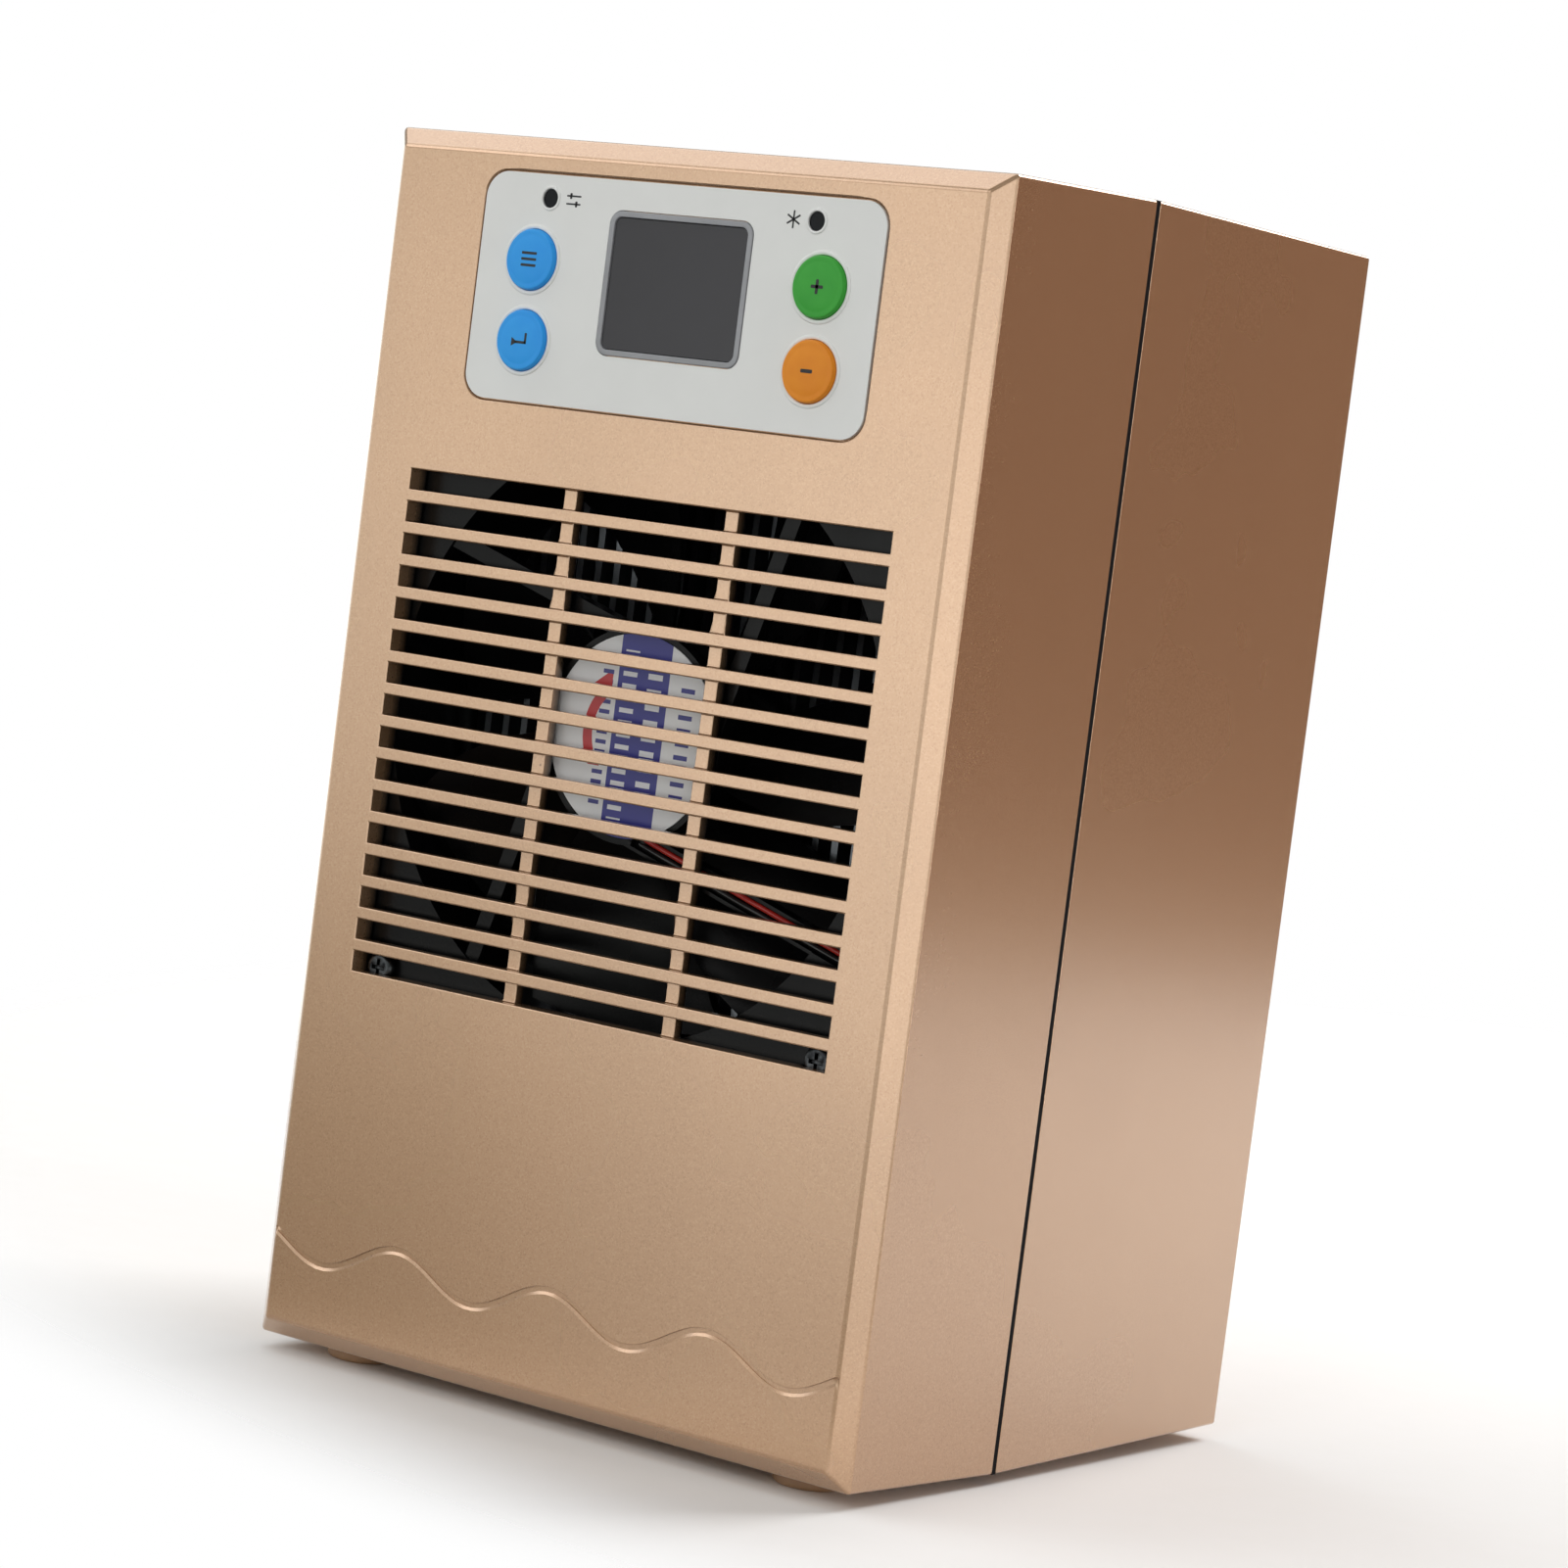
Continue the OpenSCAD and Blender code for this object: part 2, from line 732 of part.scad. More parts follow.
// A pan-head screw: its seat at zero, the head towards the back, the thread towards the front
head_round_share = 0.6;
point_share = 1 / 6;
slot_w_share = 1 / 8;
module screw(l, d, head_d, head_h) {
    slot_w = slot_w_share * head_d;
    difference() {
        rotate([90, 0, 0]) rotate_extrude() polygon(concat(
            [
                [0, l],
                [d / 2 - point_share * d, l],
                [d / 2, l - 2 * point_share * d],
                [d / 2, 0],
                [head_d / 2, 0]
            ],
            [for (a = [0:15:90]) [
                head_d / 2 - head_round_share * head_h * (1 - cos(a)),
                -head_h + head_round_share * head_h * (1 - sin(a))
            ]],
            [[0, -head_h]]
        ));
        for (turn = [0, 90]) translate([0, head_h / 2, 0]) rotate([0, turn, 0])
            translate([-head_d / 4, 0, -slot_w / 2]) cube([head_d / 2, head_h, slot_w]);
    }
}

module panel_plate() {
    color("#cacbcb") in_case() difference() {
        translate([panel_x, 0, panel_z]) to_back(0, panel_t) rounded(panel_w, panel_h, panel_r);
        translate([display_x, 0, display_z]) to_back(-cut, panel_t + 2 * cut)
            rounded(display_w + 2 * fit_gap, display_h + 2 * fit_gap, display_r + fit_gap);
        for (x = [-key_x, key_x], z = [key_z, key_z - key_pitch])
            rod(panel_x + x, -cut, z, key_d + 2 * slide_gap, panel_t + 2 * cut);
        for (x = [-lamp_x, lamp_x]) rod(panel_x + x, -cut, lamp_z, lamp_d, panel_t + 2 * cut);
    }
}

module display_frame() {
    color("#9a9ba0") in_case() translate([display_x, 0, display_z]) difference() {
        to_back(-frame_proud, panel_t + frame_proud) rounded(display_w, display_h, display_r);
        to_back(-frame_proud - cut, panel_t + frame_proud + 2 * cut)
            rounded(window_w, window_h, window_r);
    }
}

module display_window() {
    color("#48484b") in_case() translate([display_x, 0, display_z])
        to_back(panel_t - window_t, window_t)
            rounded(window_w - 2 * fit_gap, window_h - 2 * fit_gap, window_r - fit_gap);
}

module display_module() {
    color("#2a2b2e") in_case() translate([display_x, 0, display_z])
        to_back(panel_t, board_y - panel_t)
            rounded(window_w - 2 * slide_gap, window_h - 2 * slide_gap, window_r - slide_gap);
}

module lamp_windows() {
    color("#222428") in_case() for (x = [-lamp_x, lamp_x])
        rod(panel_x + x, panel_t / 4, lamp_z, lamp_d - 2 * fit_gap, wall + key_flange_t);
}

// A domed key cap with its flange behind the wall
module key_cap(x, z) {
    r = key_d / 2;
    dome = key_proud - key_rim_proud;
    dome_r = (r * r + dome * dome) / (2 * dome);
    in_case() translate([panel_x + x, 0, z]) rotate([-90, 0, 0]) {
        intersection() {
            translate([0, 0, dome_r - key_proud]) sphere(dome_r, $fn = 96);
            translate([0, 0, -key_proud]) cylinder(r = r, h = 2 * key_proud);
        }
        cylinder(r = r, h = key_back_y);
        translate([0, 0, key_back_y - key_flange_t]) cylinder(d = key_flange_d, h = key_flange_t);
    }
}

module set_key() {
    color("#4a9be0") key_cap(-key_x, key_z);
}

module enter_key() {
    color("#4a9be0") key_cap(-key_x, key_z - key_pitch);
}

module plus_key() {
    color("#3f9e42") key_cap(key_x, key_z);
}

module minus_key() {
    color("#de8b2e") key_cap(key_x, key_z - key_pitch);
}

module plunger(x, z) {
    color("#1d1d1f") in_case()
        rod(panel_x + x, key_back_y, z, plunger_d, plunger_l + key_travel);
}

module set_plunger() {
    plunger(-key_x, key_z);
}

module enter_plunger() {
    plunger(-key_x, key_z - key_pitch);
}

module plus_plunger() {
    plunger(key_x, key_z);
}

module minus_plunger() {
    plunger(key_x, key_z - key_pitch);
}

module switch_bases() {
    color("#2b2c2e") in_case() for (x = [-key_x, key_x], z = [key_z, key_z - key_pitch])
        translate([panel_x + x, board_y - switch_h, z]) difference() {
            translate([-switch_size / 2, 0, -switch_size / 2])
                cube([switch_size, switch_h, switch_size]);
            rod(0, -cut, 0, plunger_d + 2 * slide_gap, 2 * key_travel + slide_gap + cut);
        }
}

module control_board() {
    color("#1f6a3a") in_case() difference() {
        translate([-board_w / 2, board_y, board_z - board_h / 2]) cube([board_w, board_t, board_h]);
        translate([0, 0, board_z]) at_corners(board_screw_x, board_screw_z)
            rod(0, board_y - cut, 0, board_screw_d + 2 * fit_gap, board_t + 2 * cut);
    }
}

module board_screws() {
    color("#b9bbbe") in_case() translate([0, board_y + board_t, board_z])
        at_corners(board_screw_x, board_screw_z)
            screw(board_screw_l, board_screw_d, 2 * board_screw_d, board_screw_d * 2 / 3);
}

module board_chip() {
    color("#232325") in_case()
        translate([-chip_w, board_y + board_t, board_z - chip_w / 2]) cube([chip_w, chip_t, chip_w]);
}

module board_capacitors() {
    color("#2c3450") in_case() for (i = [0:1])
        rod(-board_w / 4 - i * capacitor_pitch, board_y + board_t, board_z, capacitor_d, capacitor_l);
}

module board_connectors() {
    color("#ece8dc") in_case() for (i = [0:2])
        translate([board_w / 2 - connector_pitch * (i + 1), board_y + board_t, board_z - board_h / 4])
            difference() {
                cube([connector_w, connector_d, connector_h]);
                translate([connector_wall, 2 * connector_wall, connector_wall])
                    cube([
                        connector_w - 2 * connector_wall,
                        connector_d,
                        connector_h - 2 * connector_wall
                    ]);
            }
}

module status_lamps() {
    y = wall + key_flange_t + panel_t / 4;
    color("#d8dadc") in_case() for (x = [-lamp_x, lamp_x]) {
        rod(panel_x + x, y, lamp_z, lamp_body_d, board_y - y);
    }
}

// Square flange with round corners and screw holes
module fan_flange(y) {
    translate([0, y, fan_z]) difference() {
        to_back(0, flange_t) rounded(fan_size, fan_size, fan_corner_r);
        rod(0, -cut, 0, duct_d, flange_t + 2 * cut);
    }
}

module fan_strut(turn, width) {
    translate([0, hub_plate_y, fan_z]) rotate([0, turn, 0])
        translate([strut_offset, 0, 0]) rotate([0, strut_lean, 0])
            translate([-width / 2, 0, 0]) cube([width, strut_t, duct_d / 2]);
}

// Channel for the leads, in the front of one strut and on through the flange
module lead_channel() {
    translate([0, hub_plate_y, fan_z]) rotate([0, 90, 0]) translate([strut_offset, 0, 0])
        rotate([0, strut_lean, 0]) translate([-channel_w / 2, -flange_t, strut_w])
            cube([channel_w, flange_t + channel_depth, fan_size]);
}

module fan_frame() {
    color("#161617") in_case() difference() {
        union() {
            fan_flange(fan_y);
            fan_flange(fan_y + fan_d - flange_t);
            translate([0, 0, fan_z]) difference() {
                intersection() {
                    rod(0, fan_y, 0, duct_d + 2 * duct_wall, fan_d);
                    translate([-fan_size / 2, fan_y, -fan_size / 2])
                        cube([fan_size, fan_d, fan_size]);
                }
                rod(0, fan_y - cut, 0, duct_d, fan_d + 2 * cut);
            }
            intersection() {
                union() {
                    for (turn = [0, 180, 270]) fan_strut(turn, strut_w);
                    fan_strut(90, lead_strut_w);
                }
                rod(0, fan_y, fan_z, duct_d + duct_wall, fan_d);
            }
            rod(0, hub_plate_y, fan_z, hub_d, hub_plate_t);
            rod(0, hub_plate_y, fan_z, tower_d, rotor_y - hub_plate_y + bearing_l);
        }
        translate([0, 0, fan_z]) at_corners(fan_screw_pitch / 2, fan_screw_pitch / 2)
            rod(0, fan_y - cut, 0, fan_hole_d, fan_d + 2 * cut);
        rod(0, hub_plate_y + hub_plate_t, fan_z, bearing_d, bearing_l + fan_d);
        rod(0, hub_plate_y - cut, fan_z, label_d + 2 * fit_gap, label_t + cut);
        lead_channel();
    }
}

// A blade: stations along the radius, each a cambered strip around the hub
blade_stations = 6;
blade_chords = 6;
blade_camber_share = 0.12;
blade_taper_share = 0.18;
blade_lead_angle = 10;
function blade_r(s) = root_r + (tip_r - root_r) * s / blade_stations;
function blade_span(s) = blade_sweep * (1 - blade_taper_share * s / blade_stations);
function blade_lead(s) = blade_lead_angle * pow(s / blade_stations, 2);
function blade_rise(c) = (rotor_l - 2 * blade_inset - blade_t) * c / blade_chords;
function blade_camber(c) = blade_camber_share * rotor_l * sin(180 * c / blade_chords);
function blade_point(s, c, side) =
    let (
        angle = blade_lead(s) + blade_span(s) * (c / blade_chords - 0.5),
        r = blade_r(s),
        camber = blade_camber(c) * (1 - s / blade_stations / 2)
    )
    [r * cos(angle), blade_inset + blade_rise(c) + camber * side + side * blade_t, r * sin(angle)];

module blade() {
    n = blade_chords + 1;
    ring = 2 * n;
    points = [
        for (s = [0:blade_stations]) for (k = [0:ring - 1])
            k < n ? blade_point(s, k, 0) : blade_point(s, ring - 1 - k, 1)
    ];
    root_caps = [
        for (k = [0:n - 2]) for (face = [[k, ring - 2 - k, k + 1], [k, ring - 1 - k, ring - 2 - k]])
            face
    ];
    tip_caps = [
        for (face = root_caps) [for (i = [2:-1:0]) face[i] + blade_stations * ring]
    ];
    sides = [
        for (s = [0:blade_stations - 1]) for (k = [0:ring - 1])
            let (a = s * ring + k, b = s * ring + (k + 1) % ring)
            for (face = [[a, b + ring, a + ring], [a, b, b + ring]]) face
    ];
    polyhedron(points, concat(root_caps, tip_caps, sides));
}

module fan_rotor() {
    color("#141415") in_case() translate([0, rotor_y, fan_z]) difference() {
        union() {
            difference() {
                rod(0, 0, 0, hub_d, rotor_l);
                rod(0, -cut, 0, hub_d - 2 * hub_wall, rotor_l - rotor_end_t + cut);
            }
            for (i = [0:blade_count - 1]) rotate([0, 360 * i / blade_count, 0]) blade();
        }
        rod(0, rotor_l - rotor_end_t - cut, 0, shaft_d, rotor_end_t + 2 * cut);
    }
}

module rotor_magnet() {
    color("#3a3a3c") in_case() translate([0, rotor_y + hub_gap, fan_z]) difference() {
        rod(0, 0, 0, hub_d - 2 * hub_wall, rotor_l - rotor_end_t - hub_gap);
        rod(0, -cut, 0, hub_d - 2 * hub_wall - 2 * magnet_t, rotor_l + cut);
    }
}

module fan_shaft() {
    start = hub_plate_y + hub_plate_t + shaft_end_gap;
    color("#c4c6c9") in_case() rod(0, start, fan_z, shaft_d, rotor_y + rotor_l - start);
}

module fan_bearing() {
    color("#b58a45") in_case() difference() {
        rod(0, hub_plate_y + hub_plate_t, fan_z, bearing_d, bearing_l);
        rod(0, hub_plate_y + hub_plate_t - cut, fan_z, shaft_d + 2 * running_gap, bearing_l + 2 * cut);
    }
}

module fan_stator() {
    color("#8d9196") in_case() translate([0, stator_y, fan_z]) difference() {
        union() {
            rod(0, 0, 0, tower_d + 2 * yoke_t, stator_l);
            intersection() {
                rod(0, 0, 0, stator_d, stator_l);
                for (i = [0:pole_count - 1]) rotate([0, 360 * i / pole_count, 0]) union() {
                    translate([-pole_w / 2, 0, 0]) cube([pole_w, stator_l, stator_d]);
                    translate([-shoe_w / 2, 0, stator_d / 2 - shoe_t])
                        cube([shoe_w, stator_l, stator_d]);
                }
            }
        }
        rod(0, -cut, 0, tower_d + 2 * fit_gap, stator_l + 2 * cut);
    }
}

module fan_coils() {
    coil_low = tower_d / 2 + yoke_t + coil_gap;
    coil_high = stator_d / 2 - shoe_t - coil_gap;
    color("#b5652a") in_case() translate([0, stator_y - coil_lap, fan_z])
        for (i = [0:pole_count - 1]) rotate([0, 360 * i / pole_count, 0]) difference() {
            translate([-pole_w / 2 - coil_t, 0, coil_low])
                cube([pole_w + 2 * coil_t, stator_l + 2 * coil_lap, coil_high - coil_low]);
            translate([-pole_w / 2, coil_lap, 0]) cube([pole_w, stator_l, stator_d]);
        }
}

module fan_label() {
    color("#e9e9e6") in_case() rod(0, hub_plate_y, fan_z, label_d, label_t);
}

module fan_screws() {
    l = fan_d + fit_gap + fan_thread_l;
    color("#c6c8ca") in_case() translate([0, fan_y, fan_z])
        at_corners(fan_screw_pitch / 2, fan_screw_pitch / 2) mirror([0, 1, 0])
            screw(l, fan_screw_d, fan_screw_head_d, fan_screw_head_h);
}

// A lead: rings square to its route, joined into one tube
function lead_dir(points, i) =
    let (a = points[max(i - 1, 0)], b = points[min(i + 1, len(points) - 1)])
    (b - a) / norm(b - a);
function lead_side(dir) =
    let (s = cross(dir, [0, 1, 0]))
    s / norm(s);
function lead_ring(points, i) =
    let (dir = lead_dir(points, i), side = lead_side(dir), up = cross(dir, side))
    [
        for (k = [0:lead_sides - 1])
            points[i] + lead_d / 2 * (cos(360 * k / lead_sides) * side + sin(360 * k / lead_sides) * up)
    ];

module lead(points) {
    last = len(points) - 1;
    n = lead_sides;
    polyhedron(
        [for (i = [0:last]) each lead_ring(points, i)],
        concat(
            [[for (k = [n - 1:-1:0]) k]],
            [[for (k = [0:n - 1]) last * n + k]],
            [for (i = [0:last - 1]) for (k = [0:n - 1])
                [i * n + k, i * n + (k + 1) % n, (i + 1) * n + (k + 1) % n, (i + 1) * n + k]]
        )
    );
}

module fan_lead_red() {
    color("#b02a22") in_case() lead(red_route);
}

module fan_lead_black() {
    color("#19191a") in_case() lead(black_route);
}

module heat_sink() {
    pitch = (sink_w - fin_t) / (fin_count - 1);
    color("#a9adb2") in_case() translate([0, 0, fan_z]) difference() {
        union() {
            translate([-sink_w / 2, sink_base_y, -sink_h / 2]) cube([sink_w, sink_base_t, sink_h]);
            for (i = [0:fin_count - 1])
                translate([-sink_w / 2 + i * pitch, sink_y, -sink_h / 2])
                    cube([fin_t, fin_d + cut, sink_h]);
            at_corners(fan_screw_pitch / 2, fan_screw_pitch / 2)
                rod(0, sink_y, 0, post_d, fin_d + cut);
        }
        at_corners(fan_screw_pitch / 2, fan_screw_pitch / 2)
            rod(0, sink_y - cut, 0, fan_screw_d + 2 * fit_gap, 2 * fan_thread_l + cut);
        at_corners(sink_post_x, sink_post_z)
            rod(0, sink_base_y + sink_base_t / 4, 0, pilot_d, sink_base_t);
        for (x = [-clamp_screw_x, clamp_screw_x])
            rod(x, sink_base_y + sink_base_t / 4, 0, clamp_screw_d + 2 * fit_gap, sink_base_t);
    }
}

module sink_screws() {
    color("#b9bbbe") in_case() translate([0, sink_back_y + ledge_t, fan_z])
        at_corners(sink_post_x, sink_post_z)
            screw(ledge_t + sink_base_t / 2, screw_d, screw_head_d, screw_head_h);
}

module cooling_modules() {
    color("#e4e2da") in_case() for (level = [-1, 1])
        translate([
            -module_size / 2,
            sink_back_y,
            fan_z + level * (module_size + module_gap) / 2 - module_size / 2
        ]) cube([module_size, module_t, module_size]);
}

module water_block() {
    color("#b4b7bb") in_case() difference() {
        union() {
            translate([-block_w / 2, block_y, block_bottom]) cube([block_w, block_t, block_h]);
            for (x = [-spigot_x, spigot_x])
                translate([x, barb_y, block_bottom - barb_out]) cylinder(d = barb_d, h = barb_out + cut);
        }
        for (x = [-spigot_x, spigot_x])
            translate([x, barb_y, block_bottom - barb_out - cut])
                cylinder(d = channel_d, h = barb_out + block_h - spigot_bore);
        translate([-spigot_x, barb_y, block_bottom + block_h - 2 * spigot_bore])
            rotate([0, 90, 0]) cylinder(d = channel_d, h = 2 * spigot_x);
    }
}

module block_foam() {
    color("#222224") in_case() difference() {
        translate([-block_w / 2 - foam_t, sink_back_y + fit_gap, block_bottom - foam_t])
            cube([block_w + 2 * foam_t, module_t + block_t - fit_gap, block_h + 2 * foam_t]);
        translate([-block_w / 2 - fit_gap, sink_back_y - cut, block_bottom - fit_gap])
            cube([block_w + 2 * fit_gap, module_t + block_t + 2 * cut, block_h + 2 * fit_gap]);
        for (x = [-spigot_x, spigot_x])
            translate([x, barb_y, block_bottom - foam_t - cut])
                cylinder(d = barb_d + 2 * fit_gap, h = foam_t + 2 * cut);
    }
}

module block_clamp() {
    color("#9b9ea2") in_case() difference() {
        translate([-clamp_w / 2, block_back_y, fan_z - clamp_h / 2]) cube([clamp_w, clamp_t, clamp_h]);
        for (x = [-clamp_screw_x, clamp_screw_x])
            rod(x, block_back_y - cut, fan_z, clamp_screw_d + 2 * fit_gap, clamp_t + 2 * cut);
    }
}

module clamp_screws() {
    l = clamp_t + block_t + module_t + sink_base_t / 2;
    color("#c6c8ca") in_case() for (x = [-clamp_screw_x, clamp_screw_x])
        translate([x, block_back_y + clamp_t, fan_z])
            screw(l, clamp_screw_d, 2 * clamp_screw_d, clamp_screw_d * 2 / 3);
}

// A hose: down from the water block, a quarter bend, then back to its spigot
module hose(x) {
    bend_z = spigot_z + hose_bend_r;
    top = block_bottom - foam_t - fit_gap;
    color("#d9dcd8") in_case() {
        translate([x, barb_y, bend_z]) hose_length(top - bend_z);
        translate([x, barb_y + hose_bend_r, bend_z]) rotate([0, 90, 180])
            rotate_extrude(angle = 90) translate([hose_bend_r, 0]) difference() {
                circle(d = hose_d);
                circle(d = hose_bore);
            }
        translate([x, barb_y + hose_bend_r, spigot_z]) rotate([-90, 0, 0])
            hose_length(hose_end_y - barb_y - hose_bend_r + barb_out);
    }
}

module hose_length(l) {
    difference() {
        cylinder(d = hose_d, h = l);
        translate([0, 0, -cut]) cylinder(d = hose_bore, h = l + 2 * cut);
    }
}

module hose_left() {
    hose(-spigot_x);
}

module hose_right() {
    hose(spigot_x);
}

// A spigot: outer hose tail, flange, threaded shank through the wall and inner barb
module spigot(x) {
    tail_y = body_d + seal_t + spigot_flange_t;
    end_y = body_d + spigot_out;
    shank_y = body_d - wall - nut_t - lead_in;
    color("#1e1e20") in_case() translate([x, 0, spigot_z]) rotate([-90, 0, 0]) rotate_extrude()
        polygon([
            [channel_d / 2, hose_end_y],
            [barb_d / 2, hose_end_y],
            [barb_d / 2, shank_y],
            [thread_d / 2, shank_y],
            [thread_d / 2, body_d + seal_t],
            [spigot_flange_d / 2, body_d + seal_t],
            [spigot_flange_d / 2, tail_y],
            [spigot_d / 2, tail_y],
            [spigot_d / 2, end_y - lead_in],
            [spigot_d / 2 - lead_in, end_y],
            [spigot_bore / 2, end_y],
            [spigot_bore / 2, body_d - wall],
            [channel_d / 2, body_d - wall]
        ]);
}

module spigot_left() {
    spigot(-spigot_x);
}

module spigot_right() {
    spigot(spigot_x);
}

module spigot_nuts() {
    color("#242426") in_case() for (x = [-spigot_x, spigot_x]) difference() {
        translate([x, body_d - wall - nut_t, spigot_z]) rotate([-90, 0, 0])
            cylinder(d = nut_w, h = nut_t, $fn = 6);
        rod(x, body_d - wall - nut_t - cut, spigot_z, thread_d + 2 * fit_gap, nut_t + 2 * cut);
    }
}

module spigot_seals() {
    color("#3a3a3d") in_case() for (x = [-spigot_x, spigot_x]) difference() {
        rod(x, body_d, spigot_z, spigot_flange_d, seal_t);
        rod(x, body_d - cut, spigot_z, thread_d + 2 * fit_gap, seal_t + 2 * cut);
    }
}

module power_inlet() {
    color("#1a1a1b") in_case() difference() {
        union() {
            rod(inlet_x, body_d - inlet_l, inlet_z, inlet_d, inlet_l);
            rod(inlet_x, body_d, inlet_z, inlet_flange_d, inlet_flange_t);
        }
        rod(inlet_x, body_d - inlet_l + inlet_flange_t, inlet_z, inlet_bore, 2 * inlet_l);
    }
}

module inlet_pin() {
    color("#c9b26a") in_case()
        rod(inlet_x, body_d - inlet_l + inlet_flange_t, inlet_z, inlet_pin_d, inlet_l - inlet_flange_t);
}

module inlet_nut() {
    color("#c0c2c5") in_case() difference() {
        translate([inlet_x, body_d - wall - inlet_nut_t, inlet_z]) rotate([-90, 0, 0])
            cylinder(d = inlet_nut_d * 2 / sqrt(3), h = inlet_nut_t, $fn = 6);
        rod(inlet_x, body_d - wall - inlet_nut_t - cut, inlet_z, inlet_d, inlet_nut_t + 2 * cut);
    }
}

module sensor_socket() {
    z = inlet_z + socket_rise;
    color("#1a1a1b") in_case() difference() {
        union() {
            rod(inlet_x, body_d - socket_l, z, socket_d, socket_l);
            rod(inlet_x, body_d, z, socket_flange_d, socket_flange_t);
        }
        rod(inlet_x, body_d + socket_flange_t - socket_bore_l, z, socket_bore, socket_bore_l + cut);
    }
}

module socket_nut() {
    z = inlet_z + socket_rise;
    color("#c0c2c5") in_case() difference() {
        rod(inlet_x, body_d - wall - socket_nut_t, z, socket_nut_d, socket_nut_t);
        rod(inlet_x, body_d - wall - socket_nut_t - cut, z, socket_d, socket_nut_t + 2 * cut);
    }
}

module switch_housing() {
    color("#17171a") in_case() translate([-switch_x, body_d, switch_z]) difference() {
        union() {
            to_back(0, switch_rim_t) rounded(switch_w, switch_hgt, lead_in);
            to_back(-switch_body_l, switch_body_l + cut)
                square([switch_body_w, switch_body_h], center = true);
        }
        to_back(-rocker_deep - lead_in, switch_body_l)
            square([rocker_w + 2 * slide_gap, rocker_h + 4 * slide_gap], center = true);
        translate([-rocker_w / 2 - pivot_l - slide_gap, 0, 0]) rotate([0, 90, 0])
            cylinder(d = pivot_d + 2 * running_gap, h = rocker_w + 2 * pivot_l + 2 * slide_gap);
    }
}

// A two-sided rocker, drawn level and then tilted to its rest side
module rocker() {
    color("#232327") in_case() translate([-switch_x, body_d, switch_z])
        rotate([rocker_tilt, 0, 0]) {
            translate([-rocker_w / 2, 0, 0]) rotate([90, 0, 90]) linear_extrude(rocker_w) polygon([
                [-rocker_deep, -pivot_d],
                [-rocker_deep, pivot_d],
                [0, rocker_h / 2],
                [switch_rim_t + rocker_h / 2 * tan(rocker_tilt), rocker_h / 2],
                [switch_rim_t, 0],
                [switch_rim_t + rocker_h / 2 * tan(rocker_tilt), -rocker_h / 2],
                [0, -rocker_h / 2]
            ]);
            translate([-rocker_w / 2 - pivot_l, 0, 0]) rotate([0, 90, 0])
                cylinder(d = pivot_d, h = rocker_w + 2 * pivot_l);
        }
}

module switch_terminals() {
    color("#c9b26a") in_case() for (level = [-0.5, 0.5])
        translate([
            -switch_x - terminal_w / 2,
            body_d - switch_body_l - terminal_l,
            switch_z + level * terminal_pitch - terminal_t / 2
        ]) cube([terminal_w, terminal_l, terminal_t]);
}

front_shell();
rear_shell();
seam_gasket();
feet();
case_screws();
panel_plate();
display_frame();
display_window();
display_module();
lamp_windows();
set_key();
enter_key();
plus_key();
minus_key();
set_plunger();
enter_plunger();
plus_plunger();
minus_plunger();
switch_bases();
control_board();
board_screws();
board_chip();
board_capacitors();
board_connectors();
status_lamps();
fan_frame();
fan_rotor();
rotor_magnet();
fan_shaft();
fan_bearing();
fan_stator();
fan_coils();
fan_label();
fan_screws();
fan_lead_red();
fan_lead_black();
heat_sink();
sink_screws();
cooling_modules();
water_block();
block_foam();
block_clamp();
clamp_screws();
hose_left();
hose_right();
spigot_left();
spigot_right();
spigot_nuts();
spigot_seals();
power_inlet();
inlet_pin();
inlet_nut();
sensor_socket();
socket_nut();
switch_housing();
rocker();
switch_terminals();
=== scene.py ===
import math
import bmesh
import bpy
from mathutils import Matrix, Vector


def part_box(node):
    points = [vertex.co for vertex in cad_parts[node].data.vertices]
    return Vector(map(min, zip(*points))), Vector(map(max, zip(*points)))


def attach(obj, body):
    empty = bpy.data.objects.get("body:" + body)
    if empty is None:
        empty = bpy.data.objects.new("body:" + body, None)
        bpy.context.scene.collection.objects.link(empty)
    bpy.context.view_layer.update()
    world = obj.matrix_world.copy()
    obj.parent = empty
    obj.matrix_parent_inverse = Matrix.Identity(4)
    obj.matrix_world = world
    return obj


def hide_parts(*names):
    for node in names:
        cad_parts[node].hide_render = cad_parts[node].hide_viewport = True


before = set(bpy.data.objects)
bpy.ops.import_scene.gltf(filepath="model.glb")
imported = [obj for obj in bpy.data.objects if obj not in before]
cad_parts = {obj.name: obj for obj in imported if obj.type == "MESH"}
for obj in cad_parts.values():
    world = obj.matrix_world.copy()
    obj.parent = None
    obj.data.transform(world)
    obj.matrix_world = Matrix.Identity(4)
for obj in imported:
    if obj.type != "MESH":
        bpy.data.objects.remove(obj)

print("stage: packed model loaded")
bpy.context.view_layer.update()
caseFront = -77.4      # the case's front face in the row frame, mm
caseUnderside = 2      # the underside stands this far above the floor, mm
mergeGap = 0.000004    # points closer than this are one, metres


def atCase(x, y, z):   # millimetres on the case (middle, front face, underside) to metres in the row frame
    return Vector((x, y + caseFront, z + caseUnderside)) / 1000


# tools used by every piece

def deselectAll():
    if bpy.context.object and bpy.context.object.mode != "OBJECT":
        closePiece()
    for other in bpy.context.selected_objects:
        other.select_set(False)


def closePiece():      # ends the editing
    bpy.ops.object.mode_set(mode="OBJECT")


def selectWhole():     # all of the piece that is open
    bpy.ops.mesh.select_all(action="SELECT")


def takeUp(piece):     # makes one piece the only selected and active one
    deselectAll()
    piece.select_set(True)
    bpy.context.view_layer.objects.active = piece


